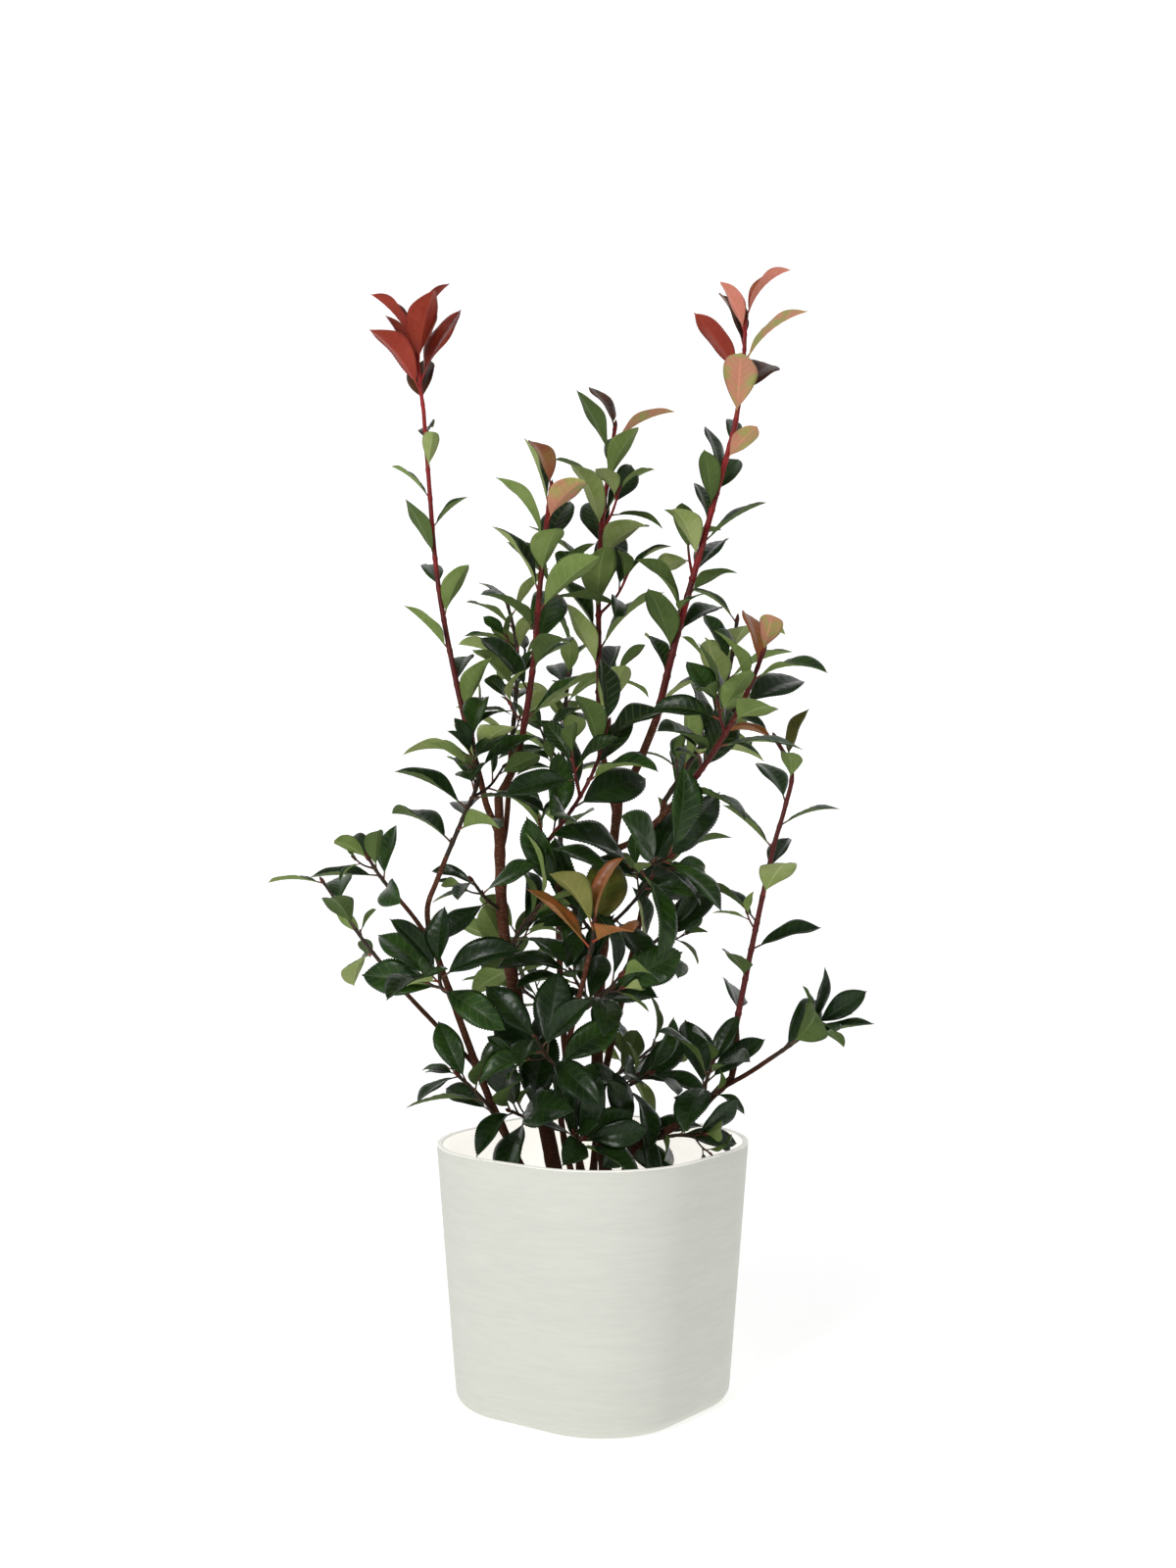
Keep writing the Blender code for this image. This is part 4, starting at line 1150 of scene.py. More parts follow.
def place_twig(space, mass, root, along, turn, dice, leaves, twigs, share):
    """A short side twig with a few leaves of its own, where there is room for it."""
    lean, length = math.radians(dice.uniform(*TWIG_LEAN)), dice.uniform(*TWIG_LENGTH)
    spine = twig_spine(root, heading_out(along, turn, lean)[0], length, TWIG_RISE)
    draws = [chances(dice) for _ in range(TWIG_LEAVES)]
    solid = tube(spine, TWIG_RADII, TWIG_SIDES)
    if space.clear(mass.name, *solid):
        space.add(mass.name, *solid)
        twigs.append(Twig(spine, TWIG_RADII, mass))
        leaves.extend(leaves_on(space, mass, share, spine, turn, mass.size * MM, TWIG_LAYOUT, draws))


def leaves_on(space, mass, share, spine, turn, size, layout, draws):
    """The leaves of a side twig that find room, one for each draw of chances."""
    found = []
    for k, chance in enumerate(draws):
        place, spread, shrink = (first + k * step for first, step in layout)
        leaf = place_leaf(space, mass, *place_on(spine, place), turn + k * TURN_PER_LEAF,
                          math.radians(spread), size * shrink, chance)
        if leaf:
            found.append(Grown(leaf, mass, share, True))
    return found


# Finer growth


def inside_frame(leaf):
    """True where the leaf's middle and tip stay within the box of the solids."""
    low, high = CAD_BOX
    points = [on_leaf(leaf, share)[0] for share in (0.5, 1.0)]
    return all(low[k] <= p[k] <= high[k] for p in points for k in range(3))


def fine_growth(mass):
    """How many finer twigs a mass gets, and between which shares of its stem: few on this year's shoots."""
    if mass.name in YOUNG:
        return 0, FINE_PLACES
    if mass.name in CRIMSON:
        return FINE_TWIGS_OF_CRIMSON, FINE_PLACES_ON_CRIMSON
    return FINE_TWIGS if mass.leaves >= LONG_SHOOT_LEAVES else FINE_TWIGS_OF_SPRAYS, FINE_PLACES


def refine(space, mass, spine):
    """Finer twigs with small leaves on the mass's stem, in the room that is left within the same reach."""
    dice = random.Random(mass.seed + FINE_SEED)
    leaves, twigs = [], []
    wanted, places = fine_growth(mass)
    for _ in range(wanted * FINE_TRIES):
        share, turn = dice.uniform(*places), dice.uniform(0, 2 * math.pi)
        lean, length = math.radians(dice.uniform(*FINE_LEAN)), dice.uniform(*FINE_LENGTH)
        size = mass.size * MM * dice.uniform(*FINE_SIZE)
        draws = [chances(dice) for _ in range(FINE_LEAVES)]
        if len(twigs) == wanted:
            continue
        root, along = place_on(spine, share)
        twig = twig_spine(root, heading_out(along, turn, lean)[0], length, FINE_RISE)
        solid = tube(twig, FINE_RADII, TWIG_SIDES)
        if not space.clear(mass.name, *solid):
            continue
        found = leaves_on(space, mass, share, twig, turn, size, FINE_LAYOUT, draws)
        found = [grown for grown in found if inside_frame(grown.leaf)]
        if found:
            space.add(mass.name, *solid)
            twigs.append(Twig(twig, FINE_RADII, mass))
            leaves += found
    return leaves, twigs


@lru_cache(maxsize=1)
def grown_plant():
    """The forms of all limbs, and every leaf and side twig of the plant."""
    forms, space = plan(), Space()
    space.add("pot", *stacked(pot_rings(*ROUGH_POT_STEPS)))
    for name, form in forms.items():
        space.add(name, *swollen(form))
    leaves, twigs = [], []
    for step in (dress, refine):
        for mass in MASSES:
            more_leaves, more_twigs = step(space, mass, forms[mass.name].spine)
            leaves += more_leaves
            twigs += more_twigs
    return forms, leaves, twigs


# Planter


def square_ring(side, corner, height, steps):
    """A level square with round corners, turned as the planter stands."""
    turned = Matrix.Rotation(POT_TURN, 3, "Z")
    ring = []
    for quarter in range(4):
        centre = Matrix.Rotation(quarter * math.pi / 2, 3, "Z") @ Vector((1, 1, 0)) * (side / 2 - corner)
        for k in range(steps + 1):
            turn = (quarter + k / steps) * math.pi / 2
            point = centre + corner * Vector((math.cos(turn), math.sin(turn), 0))
            ring.append(turned @ point + UP * height)
    return ring


def wall_sizes(height):
    """The planter's outer side and corner radius at a height."""
    share = height / POT_HEIGHT
    side = POT_BASE_SIDE + (POT_TOP_SIDE - POT_BASE_SIDE) * share
    return side, POT_BASE_CORNER + (POT_TOP_CORNER - POT_BASE_CORNER) * share


def inset_ring(inset, height, steps):
    side, corner = wall_sizes(height)
    return square_ring(side - 2 * inset, corner - inset, height, steps)


def rounded(inset, height, radius, start, end, count):
    """Insets and heights along a quarter turn about a point of the wall's section."""
    turns = [math.radians(start + (end - start) * k / count) for k in range(count + 1)]
    return [(inset - radius * math.cos(turn), height + radius * math.sin(turn)) for turn in turns]


def pot_rings(steps, fine):
    """The planter's section, ring by ring: foot, wall, lip, inner wall and floor."""
    section = rounded(POT_FOOT_ROUND, POT_FOOT_ROUND, POT_FOOT_ROUND, -90, 0, 2 * fine)
    low, high = POT_FOOT_ROUND, POT_HEIGHT - POT_EDGE
    section += [(0.0, low + (high - low) * k / WALL_STEPS) for k in range(1, WALL_STEPS)]
    section += rounded(POT_EDGE, high, POT_EDGE, 0, 90, 2 * fine)
    section += rounded(POT_LIP - POT_EDGE, high, POT_EDGE, 90, 180, 2 * fine)
    section.append((POT_LIP, POT_HEIGHT - POT_LIP_DEPTH))
    section.append((POT_WALL, POT_HEIGHT - POT_LIP_DEPTH - POT_LIP_STEP))
    section += [(POT_WALL, POT_HEIGHT * share) for share in INNER_WALL_RINGS]
    section.append((POT_WALL, POT_FLOOR))
    return [inset_ring(inset, height, steps) for inset, height in section]


# Meshes


def raw_mesh(name, points, edges=(), faces=()):
    mesh = bpy.data.meshes.new(name)
    mesh.from_pydata([tuple(p) for p in points], edges, faces)
    return mesh


def mesh_of(name, points, faces):
    """A mesh whose faces point outwards."""
    mesh = raw_mesh(name, points, (), faces)
    body = bmesh.new()
    body.from_mesh(mesh)
    bmesh.ops.recalc_face_normals(body, faces=body.faces)
    body.to_mesh(mesh)
    body.free()
    return mesh


def write(mesh, name, values, kind="FLOAT", domain="POINT"):
    """Gives a mesh an attribute, with a number or vector for each of its points or faces."""
    field = "value"
    if kind == "FLOAT_VECTOR":
        field, values = "vector", [c for vector in values for c in vector]
    mesh.attributes.new(name, kind, domain).data.foreach_set(field, values)


# Compost


def compost_mesh(looks):
    """The filling: a closed body with a lumpy top that dips towards the wall.

    Its faces carry 1 as "bed" where chips may lie, which is the top without a narrow strip at the wall.
    """
    inset = POT_WALL + GAP
    rings = [inset_ring(inset, height, SOIL_CORNER_STEPS)
             for height in (POT_FLOOR + GAP, SOIL_TOP / 2, SOIL_TOP - SOIL_DISH)]
    first = len(rings) * len(rings[0])
    side, corner = wall_sizes(SOIL_TOP)
    for k in range(1, SOIL_RINGS + 1):
        share = 1 - k / (SOIL_RINGS + 1)
        drop = SOIL_DISH * max(0.0, (share - SOIL_FLAT_SHARE) / (1 - SOIL_FLAT_SHARE))
        ring = square_ring((side - 2 * inset) * share, (corner - inset) * share, SOIL_TOP - drop,
                           SOIL_CORNER_STEPS)
        rings.append([lumpy(p, looks.lumps) for p in ring])
    mesh = mesh_of("compost", *stacked(rings))
    write(mesh, "bed", [float(min(face.vertices) >= first) for face in mesh.polygons], domain="FACE")
    return mesh


def lumpy(point, height):
    """A point of the compost's top, moved down or up by two sizes of lumps."""
    rise = sum(share * noise.noise(point * scale, noise_basis="PERLIN_ORIGINAL") for scale, share in LUMPS)
    return point + UP * height * (rise - LUMP_DROP)


def chip_form():
    """One bark chip: a thin slab with six uneven sides, a unit long."""
    outline = [(1.0, 0.05), (0.55, 0.42), (-0.35, 0.48), (-1.0, 0.16), (-0.72, -0.40), (0.40, -0.46)]
    top = [(x * 0.5, y * 0.5, 0.10 - 0.05 * x) for x, y in outline]
    low = [(x * 0.44, y * 0.52, -0.10 - 0.05 * x) for x, y in outline]
    return mesh_of("chip_form", *stacked([top, low]))


def chip_tree():
    """Scatters chips on the level part of a surface, where it is a bed for them."""
    board, given = geometry_board("photinia_chips", {
        "Chip": "Object", "Density": "Float", "Size": "Float", "Seed": "Int", "Material": "Material"})
    upward = board.height(board.add("GeometryNodeInputNormal"))
    top = board.reckon("GREATER_THAN", upward * attribute(board, "bed"), 0.6)
    points = board.add("GeometryNodeDistributePointsOnFaces", {"distribute_method": "RANDOM"},
                       {"Mesh": given["Geometry"], "Selection": top, "Density": given["Density"],
                        "Seed": given["Seed"]})
    turn, size = (board.add("FunctionNodeRandomValue", {"data_type": "FLOAT_VECTOR"},
                            {0: least, 1: most, "Seed": given["Seed"]}) for least, most in CHIP_CHANCES)
    chips = real_copies(board, points, given["Chip"], {"Rotation": turn, "Scale": size * given["Size"]})
    return end_board(board, in_material(board, chips, given["Material"]))


# The finished leaf


def leaf_form():
    """A closed leaf of unit length as a tube, whose points know where on the leaf they belong.

    u runs from -1 at the stalk's root through 0 at the blade's foot to 1 at the tip, v from -1 to 1 across.
    """
    upper = [*FORM_COLUMNS, *[-v for v in reversed(FORM_COLUMNS)]]
    columns = [(v, 1.0) for v in upper] + [(v, -1.0) for v in reversed(upper[1:-1])]
    count = len(columns)
    stations = [*FORM_STALK, *[(k / FORM_STATIONS) ** FORM_CROWDING for k in range(FORM_STATIONS)]]
    points, marks = [], []
    for n, u in enumerate(stations):
        for k, (v, face) in enumerate(columns):
            edge, turn = abs(v) == 1.0, 2 * math.pi * k / count
            points.append(Vector((math.cos(turn), u, math.sin(turn))))
            tooth = 1.0 if edge and u > TEETH_FROM and n % 2 else 0.0
            rib = 0.0 if abs(v) > RIB_EDGE else (-1.0 if face < 0 else -RIB_ABOVE)
            marks.append((u, v, 0.0 if edge else face, turn, tooth, rib))
    tip, last = len(points), len(points) - count
    points.append(Vector((0, FORM_POINT, 0)))
    marks.append((FORM_POINT, 0.0, 0.0, 0.0, 0.0, 0.0))
    faces = [tuple(range(count)), *bands(count, len(stations))]
    faces += [(last + k, last + (k + 1) % count, tip) for k in range(count)]
    neighbours = list(zip(columns, columns[1:] + columns[:1]))
    parts = [part_of(one, other, u) for u in stations for one, other in neighbours]
    mesh = mesh_of("leaf_form", points, faces)
    for name, numbers in zip(LEAF_MARKS, zip(*marks)):
        write(mesh, name, numbers)
    write(mesh, "part", [LEAF_PARTS.index("Stalk"), *parts], "INT", "FACE")
    return mesh


def part_of(one, other, u):
    """The number in LEAF_PARTS of a face of the leaf's form, from its two columns and its place along."""
    if u < 0:
        return LEAF_PARTS.index("Stalk")
    above = one[1] > 0 and other[1] > 0
    if abs(one[0]) < RIB_EDGE and abs(other[0]) < RIB_EDGE:
        return LEAF_PARTS.index("Rib above" if above else "Rib below")
    return LEAF_PARTS.index("Upper side" if above else "Underside")


def leaf_tree():
    """Sets a leaf's form on every point and shapes it by the point's own numbers."""
    board, given = geometry_board("photinia_leaves", {
        "Leaf form": "Object", **dict.fromkeys(LEAF_SIZES, "Float"), **dict.fromkeys(LEAF_PARTS, "Material")})
    leaves = real_copies(board, given["Geometry"], given["Leaf form"])
    leaves = board.add("GeometryNodeSetPosition", {}, {0: leaves, "Position": leaf_surface(board, given)})
    leaves = smoothed(board, leaves)
    part = attribute(board, "part", "INT")
    for number, label in enumerate(LEAF_PARTS):
        chosen = board.add("FunctionNodeCompare", {"data_type": "INT", "operation": "EQUAL"},
                           {2: part, 3: number})
        leaves = in_material(board, leaves, given[label], chosen)
    return end_board(board, leaves)


def leaf_surface(board, given):
    """Where each point of a leaf goes: round its stalk below the blade, and on the folded blade beyond."""
    u, v, face, turn, tooth, rib = (attribute(board, name) for name in LEAF_MARKS)
    length, width, bend, fold, twist, phase = (attribute(board, name) for name in (*LEAF_NUMBERS, "phase"))
    root, along, side, normal = (attribute(board, name, "FLOAT_VECTOR") for name in LEAF_VECTORS)

    def cos(angle):
        return board.reckon("COSINE", angle)

    def sin(angle):
        return board.reckon("SINE", angle)

    beyond, before = board.reckon("MAXIMUM", u, 0.0), board.reckon("MINIMUM", u, 0.0)
    aside = board.reckon("ABSOLUTE", v)
    grown = length / FULL_LEAF
    stalk = length * LEAF_STALK
    radius = (length - stalk) / bend
    arc, roll = bend * beyond, twist * beyond
    centre = root + along * (stalk * (1 + before) + radius * sin(arc)) - normal * (radius * (1 - cos(arc)))
    ahead = along * cos(arc) - normal * sin(arc)
    up = normal * cos(arc) + along * sin(arc)
    across = side * cos(roll) + board.reckon("CROSS_PRODUCT", ahead, side) * sin(roll)
    over = up * cos(roll) + board.reckon("CROSS_PRODUCT", ahead, up) * sin(roll)

    low, high = FORM_POWERS
    left = board.reckon("MAXIMUM", 1 - beyond, 0.0)
    uneven = 1 + 0.05 * v * sin(phase * 3 + 7 * beyond)
    wide = width * (FORM_WIDTH / 2 / widest(FORM_POWERS)) * uneven * beyond ** low * left ** high
    reach = wide * (1 + tooth * given["Teeth"])
    swell = 4 * aside * (1 - aside)
    middle = 4 * beyond * (1 - beyond)
    hollow = wide * sin(fold) * ((v * v + 0.012) ** 0.5 - 0.11) - 0.16 * wide * v * v * v * v
    veins = given["Vein relief"] * swell * middle * cos((beyond - VEIN_SLANT * aside) * VEIN_TURNS) * grown
    wave = given["Edge wave"] * length * v * v * middle * sin(phase + 9.5 * beyond + 1.3 * v)
    thick = given["Half thickness"] * face + given["Midrib"] * rib * (1.05 - beyond) * grown
    blade = (centre + across * (v * reach * cos(fold)) + over * (hollow + veins + wave + thick)
             + ahead * (tooth * given["Lean of teeth"] * length))
    girth = given["Stalk radius"] * grown ** 0.6 * (1 - 0.45 * before * before * before)
    round_stalk = centre + across * (cos(turn) * girth) + over * (sin(turn) * girth)
    return round_stalk + (blade - round_stalk) * board.eased(beyond, 0.0, BLADE_START)


def leaf_points(leaves, dice):
    """A mesh with one point for each leaf, which carries the leaf's numbers."""
    mesh = raw_mesh("leaf_points", [leaf.root for leaf in leaves])
    for name in LEAF_VECTORS:
        write(mesh, name, [getattr(leaf, name) for leaf in leaves], "FLOAT_VECTOR")
    for name in LEAF_NUMBERS:
        write(mesh, name, [getattr(leaf, name) for leaf in leaves])
    write(mesh, "phase", [dice.uniform(0, 2 * math.pi) for _ in leaves])
    return mesh


def tint_of(grown, dice):
    """The tint that a leaf is dealt, by its place on its shoot and its height on the plant."""
    draw = dice.random()
    turned = [tint for start, tint in TURNING.get(grown.mass.name, ()) if grown.share >= start]
    if turned:
        return turned[-1]
    shares = next(shares for top, shares in SHADES if grown.leaf.root.z < top)
    for tint, share in zip(GREEN_TINTS, shares):
        draw -= share
        if draw < 0:
            return tint
    return GREEN_TINTS[-1]


# The finished limbs


def joints_of(name, forms, leaves, twigs):
    """Distances along a limb at which leaves, twigs or other limbs leave it."""
    spine = forms[name].spine
    total = length_of(spine)
    found = [limb.share * total for limb in (*BOUGHS, *MASSES) if limb.parent == name and limb.share < 1.0]
    roots = [grown.leaf.root for grown in leaves if grown.mass.name == name]
    roots += [twig.spine[0] for twig in twigs if twig.mass.name == name]
    near = [distance_on(spine, root) for root in roots]
    return found + [gone for gone in near if gone is not None]


def distance_on(spine, point):
    """How far along the spine the point lies, or None where it isn't on it."""
    for p, q, gone in zip(spine, spine[1:], distances(spine)):
        run = q - p
        share = (point - p).dot(run) / run.length_squared
        if -0.01 <= share <= 1.01 and (p.lerp(q, share) - point).length < GAP:
            return gone + share * run.length
    return None


def limb_line(limb, form, rule, joints, step, reach):
    """Points and radii of a limb's finished line, with its collar, its swollen joints and sunk foot."""
    spine = through(form.spine, step)
    total, girths = length_of(form.spine), []
    for gone in distances(spine):
        swelling = sum(math.exp(-((gone - joint) / reach) ** 2) for joint in joints)
        radius = rule(limb, min(gone, total), total) * (1 + JOINT * swelling)
        if limb.parent is not None and limb.share < 1.0:
            radius *= 1 + COLLAR * math.exp(-(gone / (COLLAR_REACH * radius)) ** 2)
        girths.append(radius)
    if limb.parent is None or limb.share == 1.0:
        back = form.first * (SUNK if limb.parent is None else SUNK_IN_WOOD)
        spine, girths = [spine[0] - back, *spine], [girths[0], *girths]
    return spine, girths


def twig_line(twig):
    """Points and radii of a twig's finished line."""
    spine = through(twig.spine, SHOOT_FINE_STEP)
    foot, _, tip = twig.radii
    collars = [1 + COLLAR * math.exp(-(k / TWIG_COLLAR_REACH) ** 2) for k in range(len(spine))]
    return spine, [(foot + (tip - foot) * k / (len(spine) - 1)) * collar for k, collar in enumerate(collars)]


def lines_mesh(name, lines):
    """Open lines as one mesh of edges, with the radius at each point."""
    points, edges, girths = [], [], []
    for spine, radii in lines:
        start = len(points)
        points += spine
        edges += [(start + k, start + k + 1) for k in range(len(spine) - 1)]
        girths += radii
    mesh = raw_mesh(name, points, edges)
    write(mesh, "girth", girths)
    return mesh


def limb_tree():
    """Skins lines with round tubes and gives them the bark's relief."""
    board, given = geometry_board("photinia_limbs", {
        "Sides": "Int", "Relief": "Float", "Relief size": "Float", "Material": "Material"})
    girth = attribute(board, "girth")
    line = board.add("GeometryNodeMeshToCurve", {}, {"Mesh": given["Geometry"]})
    ring = board.add("GeometryNodeCurvePrimitiveCircle", {"mode": "RADIUS"},
                     {"Resolution": given["Sides"], "Radius": 1.0})
    skin = board.add("GeometryNodeCurveToMesh", {},
                     {"Curve": line, "Profile Curve": ring, "Scale": girth, "Fill Caps": True})
    squeeze = board.add("ShaderNodeCombineXYZ", {}, {0: 1.0, 1: 1.0, 2: RELIEF_STRETCH})
    lumps = board.noise(board.add("GeometryNodeInputPosition") * squeeze, given["Relief size"])
    rise = board.add("GeometryNodeInputNormal") * ((lumps - 0.5) * girth * given["Relief"])
    skin = smoothed(board, board.add("GeometryNodeSetPosition", {}, {0: skin, "Offset": rise}))
    return end_board(board, in_material(board, skin, given["Material"]))


def bud_form():
    """A bud of unit length: a pointed egg."""
    turns = [2 * math.pi * k / BUD_SIDES for k in range(BUD_SIDES)]
    rings = [[(radius * math.cos(t), radius * math.sin(t), height) for t in turns]
             for height, radius in BUD_RINGS]
    return mesh_of("bud_form", *stacked(rings))


def bud_tree():
    """Sets a bud on every point, along the point's direction and at its size."""
    board, given = geometry_board("photinia_buds", {"Bud": "Object", "Material": "Material"})
    turn = board.add("FunctionNodeAlignRotationToVector", {"axis": "Z"},
                     {"Vector": attribute(board, "along", "FLOAT_VECTOR")})
    buds = real_copies(board, given["Geometry"], given["Bud"],
                       {"Rotation": turn, "Scale": attribute(board, "size")})
    return end_board(board, in_material(board, smoothed(board, buds), given["Material"]))


def bud_points(forms, leaves, twigs, dice):
    """A point for the bud above each leaf and at each shoot's and twig's tip."""
    places, ways, sizes = [], [], []
    outward, onward = BUD_LEAN
    ahead, above = BUD_LIFTS
    for grown in leaves:
        leaf = grown.leaf
        up = (leaf.normal * outward + leaf.along * onward).normalized()
        places.append(leaf.root + up * ahead + leaf.normal * above)
        ways.append(up)
        sizes.append(dice.uniform(*BUD_LENGTH) * (SIDE_BUD if grown.aside else 1.0))
    tips = [(forms[mass.name].spine, SHOOT_BUD) for mass in MASSES]
    tips += [(twig.spine, TWIG_BUD) for twig in twigs]
    for spine, size in tips:
        ways.append((spine[-1] - spine[-2]).normalized())
        places.append(spine[-1] - ways[-1] * BUD_SUNK)
        sizes.append(size * dice.uniform(*BUD_VARIES))
    mesh = raw_mesh("bud_points", places)
    write(mesh, "along", ways, "FLOAT_VECTOR")
    write(mesh, "size", sizes)
    return mesh


# Pieces


def helper(mesh):
    """An object that a tree copies, kept out of the scene."""
    return bpy.data.objects.new(mesh.name, mesh)


def placed(name, data):
    """A new object in the scene."""
    thing = bpy.data.objects.new(name, data)
    bpy.context.scene.collection.objects.link(thing)
    return thing


def piece(name, mesh, replaced=()):
    """A finished piece of the plant, which rides on its body."""
    thing = placed(name, mesh)
    thing.data.name = name
    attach(thing, BODY)
    if replaced:
        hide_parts(*replaced)
    return thing


def smooth_below(mesh, degrees):
    mesh.shade_smooth()
    mesh.set_sharp_from_angle(angle=math.radians(degrees))


class PHOTINIA_OT_limbs(bpy.types.Operator):
    """Grows the stems and boughs, the leafy shoots and the buds"""

    bl_idname = "photinia.limbs"
    bl_label = "Grow stems and shoots"

    def execute(self, context):
        looks = context.scene.photinia_limbs
        forms, leaves, twigs = grown_plant()
        tree, wood = limb_tree(), (*STEMS, *BOUGHS)
        bark = make_material("photinia_bark", bark_paint, looks.bark, looks.young_bark, looks.lenticel)
        lines = [limb_line(limb, forms[limb.name], limb_radius, joints_of(limb.name, forms, (), ()),
                           TRUNK_STEP, TRUNK_JOINT_REACH) for limb in wood]
        mesh = run_tree(tree, lines_mesh("stem_lines", lines), {
            "Relief": looks.relief, "Relief size": looks.relief_size, "Sides": looks.trunk_sides,
            "Material": bark})
        piece("stems_and_boughs", mesh, [limb.name for limb in wood])

        for name, sunny, shaded in (("crimson_shoots", looks.crimson, looks.crimson_shade),
                                    ("brown_shoots", looks.brown, looks.brown_shade)):
            masses = [mass for mass in MASSES if (mass.name in CRIMSON) == (name == "crimson_shoots")]
            lines = [limb_line(mass, forms[mass.name], shoot_radius,
                               joints_of(mass.name, forms, leaves, twigs), SHOOT_FINE_STEP, JOINT_REACH)
                     for mass in masses]
            lines += [twig_line(twig) for twig in twigs if twig.mass in masses]
            mesh = run_tree(tree, lines_mesh(name, lines), {
                "Relief": looks.relief * SHOOT_RELIEF, "Relief size": looks.relief_size,
                "Sides": looks.shoot_sides,
                "Material": make_material("photinia_" + name, shoot_paint, sunny, shaded, looks.lenticel)})
            piece(name, mesh, [mass.name for mass in masses])

        # Buds take the shoots' painted light: their own colour higher up, a darker shade of it lower down
        skin = make_material("photinia_buds", shoot_paint, looks.bud, shade(looks.bud, 0.7), looks.lenticel)
        mesh = run_tree(bud_tree(), bud_points(forms, leaves, twigs, random.Random(BUD_SEED)),
                        {"Bud": helper(bud_form()), "Material": skin})
        piece("buds", mesh)
        return {"FINISHED"}


class PHOTINIA_OT_leaves(bpy.types.Operator):
    """Grows the leaves, in one or more pieces for each tint"""

    bl_idname = "photinia.leaves"
    bl_label = "Grow leaves"

    def execute(self, context):
        looks = context.scene.photinia_leaves
        dice = random.Random(TINT_SEED)
        dealt = {tint: [] for tint in TINTS}
        for grown in grown_plant()[1]:
            dealt[tint_of(grown, dice)].append(grown.leaf)
        tree, form = leaf_tree(), helper(leaf_form())
        for colours in looks.tints:
            leaves = dealt[colours.name]
            sizes = {label: getattr(looks, size) for label, size in LEAF_SIZES.items()}
            values = {"Leaf form": form, **sizes, **leaf_skins(colours)}
            for n in range(0, len(leaves), LEAVES_PER_PIECE):
                mesh = run_tree(tree, leaf_points(leaves[n:n + LEAVES_PER_PIECE], dice), values)
                piece(f"{colours.name}_leaves_{n // LEAVES_PER_PIECE + 1}", mesh)
        return {"FINISHED"}


def leaf_skins(colours):
    """The materials of the parts of a leaf, in the colours of one tint."""
    upper, under = colours.upper, colours.under
    vein_below = shade(between(under, colours.under_blotch, 0.5), 1.3)
    rough, wax = YOUNG_UNDERSIDE if colours.name in YOUNG_TINTS else OLD_UNDERSIDE
    skins = {
        "upper": (leaf_paint, upper, colours.blotch, between(upper, under, 0.4), colours.rough, colours.wax),
        "under": (leaf_paint, under, colours.under_blotch, vein_below, rough, wax),
        "stalk": (rib_paint, colours.stalk),
        "rib_below": (rib_paint, shade(under, 1.12)),
        "rib_above": (rib_paint, between(upper, under, 0.12)),
    }
    made = [make_material(f"{colours.name}_leaves_{name}", *skin) for name, skin in skins.items()]
    return dict(zip(LEAF_PARTS, made))


class PHOTINIA_OT_planter(bpy.types.Operator):
    """Makes the smooth planter with its round foot and lip"""

    bl_idname = "photinia.planter"
    bl_label = "Make planter"

    def execute(self, context):
        looks = context.scene.photinia_planter
        mesh = mesh_of("planter", *stacked(pot_rings(*POT_STEPS)))
        smooth_below(mesh, POT_SMOOTH)
        # The outside, then the inner wall and the lip's top with their painted light
        for name, colour, painted_glow in (("photinia_planter", looks.colour, 0.0),
                                   ("photinia_planter_inside", looks.inside, looks.painted_glow),
                                   ("photinia_planter_lip", looks.inside, looks.painted_glow * LIP_PAINTED_GLOW)):
            mesh.materials.append(make_material(name, planter_paint, colour, painted_glow))
        for face in mesh.polygons:
            inward = face.normal.x * face.center.x + face.normal.y * face.center.y < -0.01
            level = face.normal.z > LEVEL
            # Painted light: the lip's level top takes the inner wall's lighter colour and part of its
            # emission
            face.material_index = 2 if level and face.center.z > SOIL_TOP else int(inward or level)
        piece("planter", mesh, ["pot"])
        return {"FINISHED"}


class PHOTINIA_OT_compost(bpy.types.Operator):
    """Fills the planter with compost and scatters bark chips on it"""

    bl_idname = "photinia.compost"
    bl_label = "Fill with compost"

    def execute(self, context):
        looks = context.scene.photinia_compost
        mesh = compost_mesh(looks)
        smooth_below(mesh, SOIL_SMOOTH)
        skin = make_material("photinia_compost", compost_paint, looks.dark, looks.light, looks.pale)
        mesh.materials.append(skin)
        soil = piece("compost", mesh, ["soil"])
        wood = make_material("photinia_chips", chip_paint, shade(looks.chip, 0.45), looks.chip)
        chips = run_tree(chip_tree(), soil.data, {
            "Chip": helper(chip_form()), "Density": float(looks.chips), "Size": looks.chip_size,
            "Seed": looks.seed, "Material": wood})
        piece("bark_chips", chips)
        return {"FINISHED"}


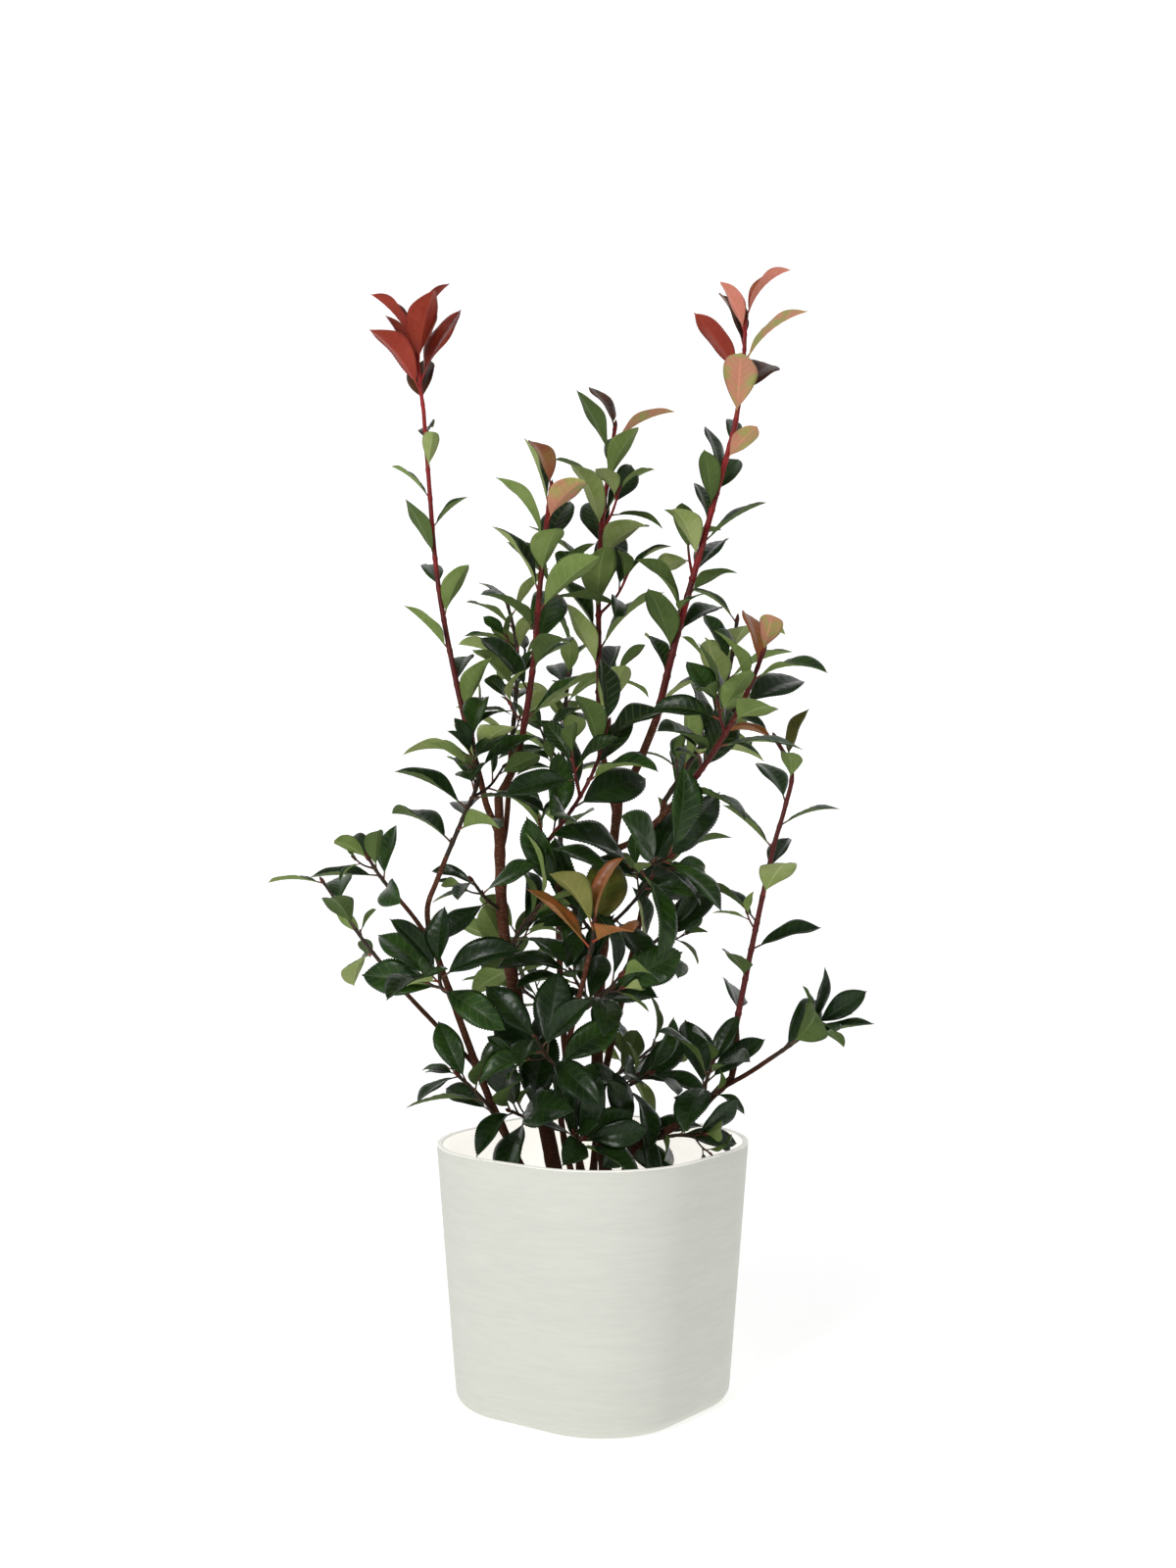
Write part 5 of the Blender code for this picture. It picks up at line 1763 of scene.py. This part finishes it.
class PHOTINIA_OT_stage(bpy.types.Operator):
    """Sets the floor and backdrop, the soft lights and the camera"""

    bl_idname = "photinia.stage"
    bl_label = "Set the stage"

    def execute(self, context):
        scene, looks = context.scene, context.scene.photinia_stage
        sweep = placed("sweep", sweep_mesh())
        sweep.data.materials.append(make_material("photinia_floor", floor_paint, looks.floor))
        add_lamp("key_light", *KEY_LAMP, looks.key)
        add_lamp("fill_light", *FILL_LAMP, looks.fill)
        scene.world = bpy.data.worlds.new("studio")
        scene.world.use_nodes = True
        light = scene.world.node_tree.nodes["Background"].inputs
        light["Color"].default_value = (1.0, 1.0, 1.0, 1.0)
        light["Strength"].default_value = looks.world
        lens = bpy.data.cameras.new("camera")
        lens.sensor_width, lens.lens = SENSOR, FOCUS_PIXELS * SENSOR / PHOTO_HEIGHT
        scene.camera = placed("camera", lens)
        scene.camera.location = CAMERA_PLACE
        scene.camera.rotation_euler = (CAMERA_PITCH, 0, 0)
        scene.view_settings.view_transform = "Standard"
        return {"FINISHED"}


def sweep_mesh():
    """A floor that curves up into a backdrop."""
    turns = [math.pi / 2 * k / SWEEP_STEPS for k in range(1, SWEEP_STEPS + 1)]
    bend = [(SWEEP_BACK + SWEEP_BEND * math.sin(t), SWEEP_BEND * (1 - math.cos(t))) for t in turns]
    profile = [(SWEEP_FRONT, 0.0), (SWEEP_BACK, 0.0), *bend, (SWEEP_BACK + SWEEP_BEND, SWEEP_TOP)]
    points = [(x, y, z) for y, z in profile for x in (-SWEEP_HALF, SWEEP_HALF)]
    faces = [(2 * k, 2 * k + 1, 2 * k + 3, 2 * k + 2) for k in range(len(profile) - 1)]
    mesh = raw_mesh("sweep", points, (), faces)
    mesh.shade_smooth()
    return mesh


def add_lamp(name, place, size, power):
    """A square lamp that faces the middle of the plant."""
    lamp = bpy.data.lights.new(name, "AREA")
    lamp.energy, lamp.size = power, size
    thing = placed(name, lamp)
    thing.location = place
    thing.rotation_euler = (LAMP_AIM - Vector(place)).to_track_quat("-Z", "Y").to_euler()


class PHOTINIA_PT_build(bpy.types.Panel):
    """Lists the steps that build the potted photinia"""

    bl_idname = "PHOTINIA_PT_build"
    bl_label = "Potted photinia"
    bl_space_type = "VIEW_3D"
    bl_region_type = "UI"
    bl_category = "Photinia"

    def draw(self, context):
        for step in STEPS:
            self.layout.operator(step.bl_idname)
        for name in GROUPS:
            group = getattr(context.scene, name)
            box = self.layout.box()
            for prop in group.bl_rna.properties.keys():
                if prop not in ("rna_type", "name", "tints"):
                    box.prop(group, prop)


STEPS = (PHOTINIA_OT_planter, PHOTINIA_OT_compost, PHOTINIA_OT_limbs, PHOTINIA_OT_leaves, PHOTINIA_OT_stage)
GROUPS = {
    "photinia_leaves": LeafLooks,
    "photinia_limbs": LimbLooks,
    "photinia_planter": PlanterLooks,
    "photinia_compost": CompostLooks,
    "photinia_stage": StageLooks,
}
CLASSES = (LeafTint, *GROUPS.values(), *STEPS, PHOTINIA_PT_build)


def register():
    for cls in CLASSES:
        bpy.utils.register_class(cls)
    for name, group in GROUPS.items():
        setattr(bpy.types.Scene, name, PointerProperty(type=group))


def unregister():
    for name in GROUPS:
        delattr(bpy.types.Scene, name)
    for cls in reversed(CLASSES):
        bpy.utils.unregister_class(cls)


def fill_tints(looks):
    """Gives the scene's list of tints its starting colours."""
    for name, (*colours, rough, wax) in TINTS.items():
        tint = looks.tints.add()
        tint.name, tint.rough, tint.wax = name, rough, wax
        for field, colour in zip(TINT_COLOURS, colours):
            setattr(tint, field, srgb(*colour))


def main():
    register()
    fill_tints(bpy.context.scene.photinia_leaves)
    bpy.ops.photinia.planter()
    bpy.ops.photinia.compost()
    bpy.ops.photinia.limbs()
    bpy.ops.photinia.leaves()
    bpy.ops.photinia.stage()


if __name__ == "__main__":
    main()
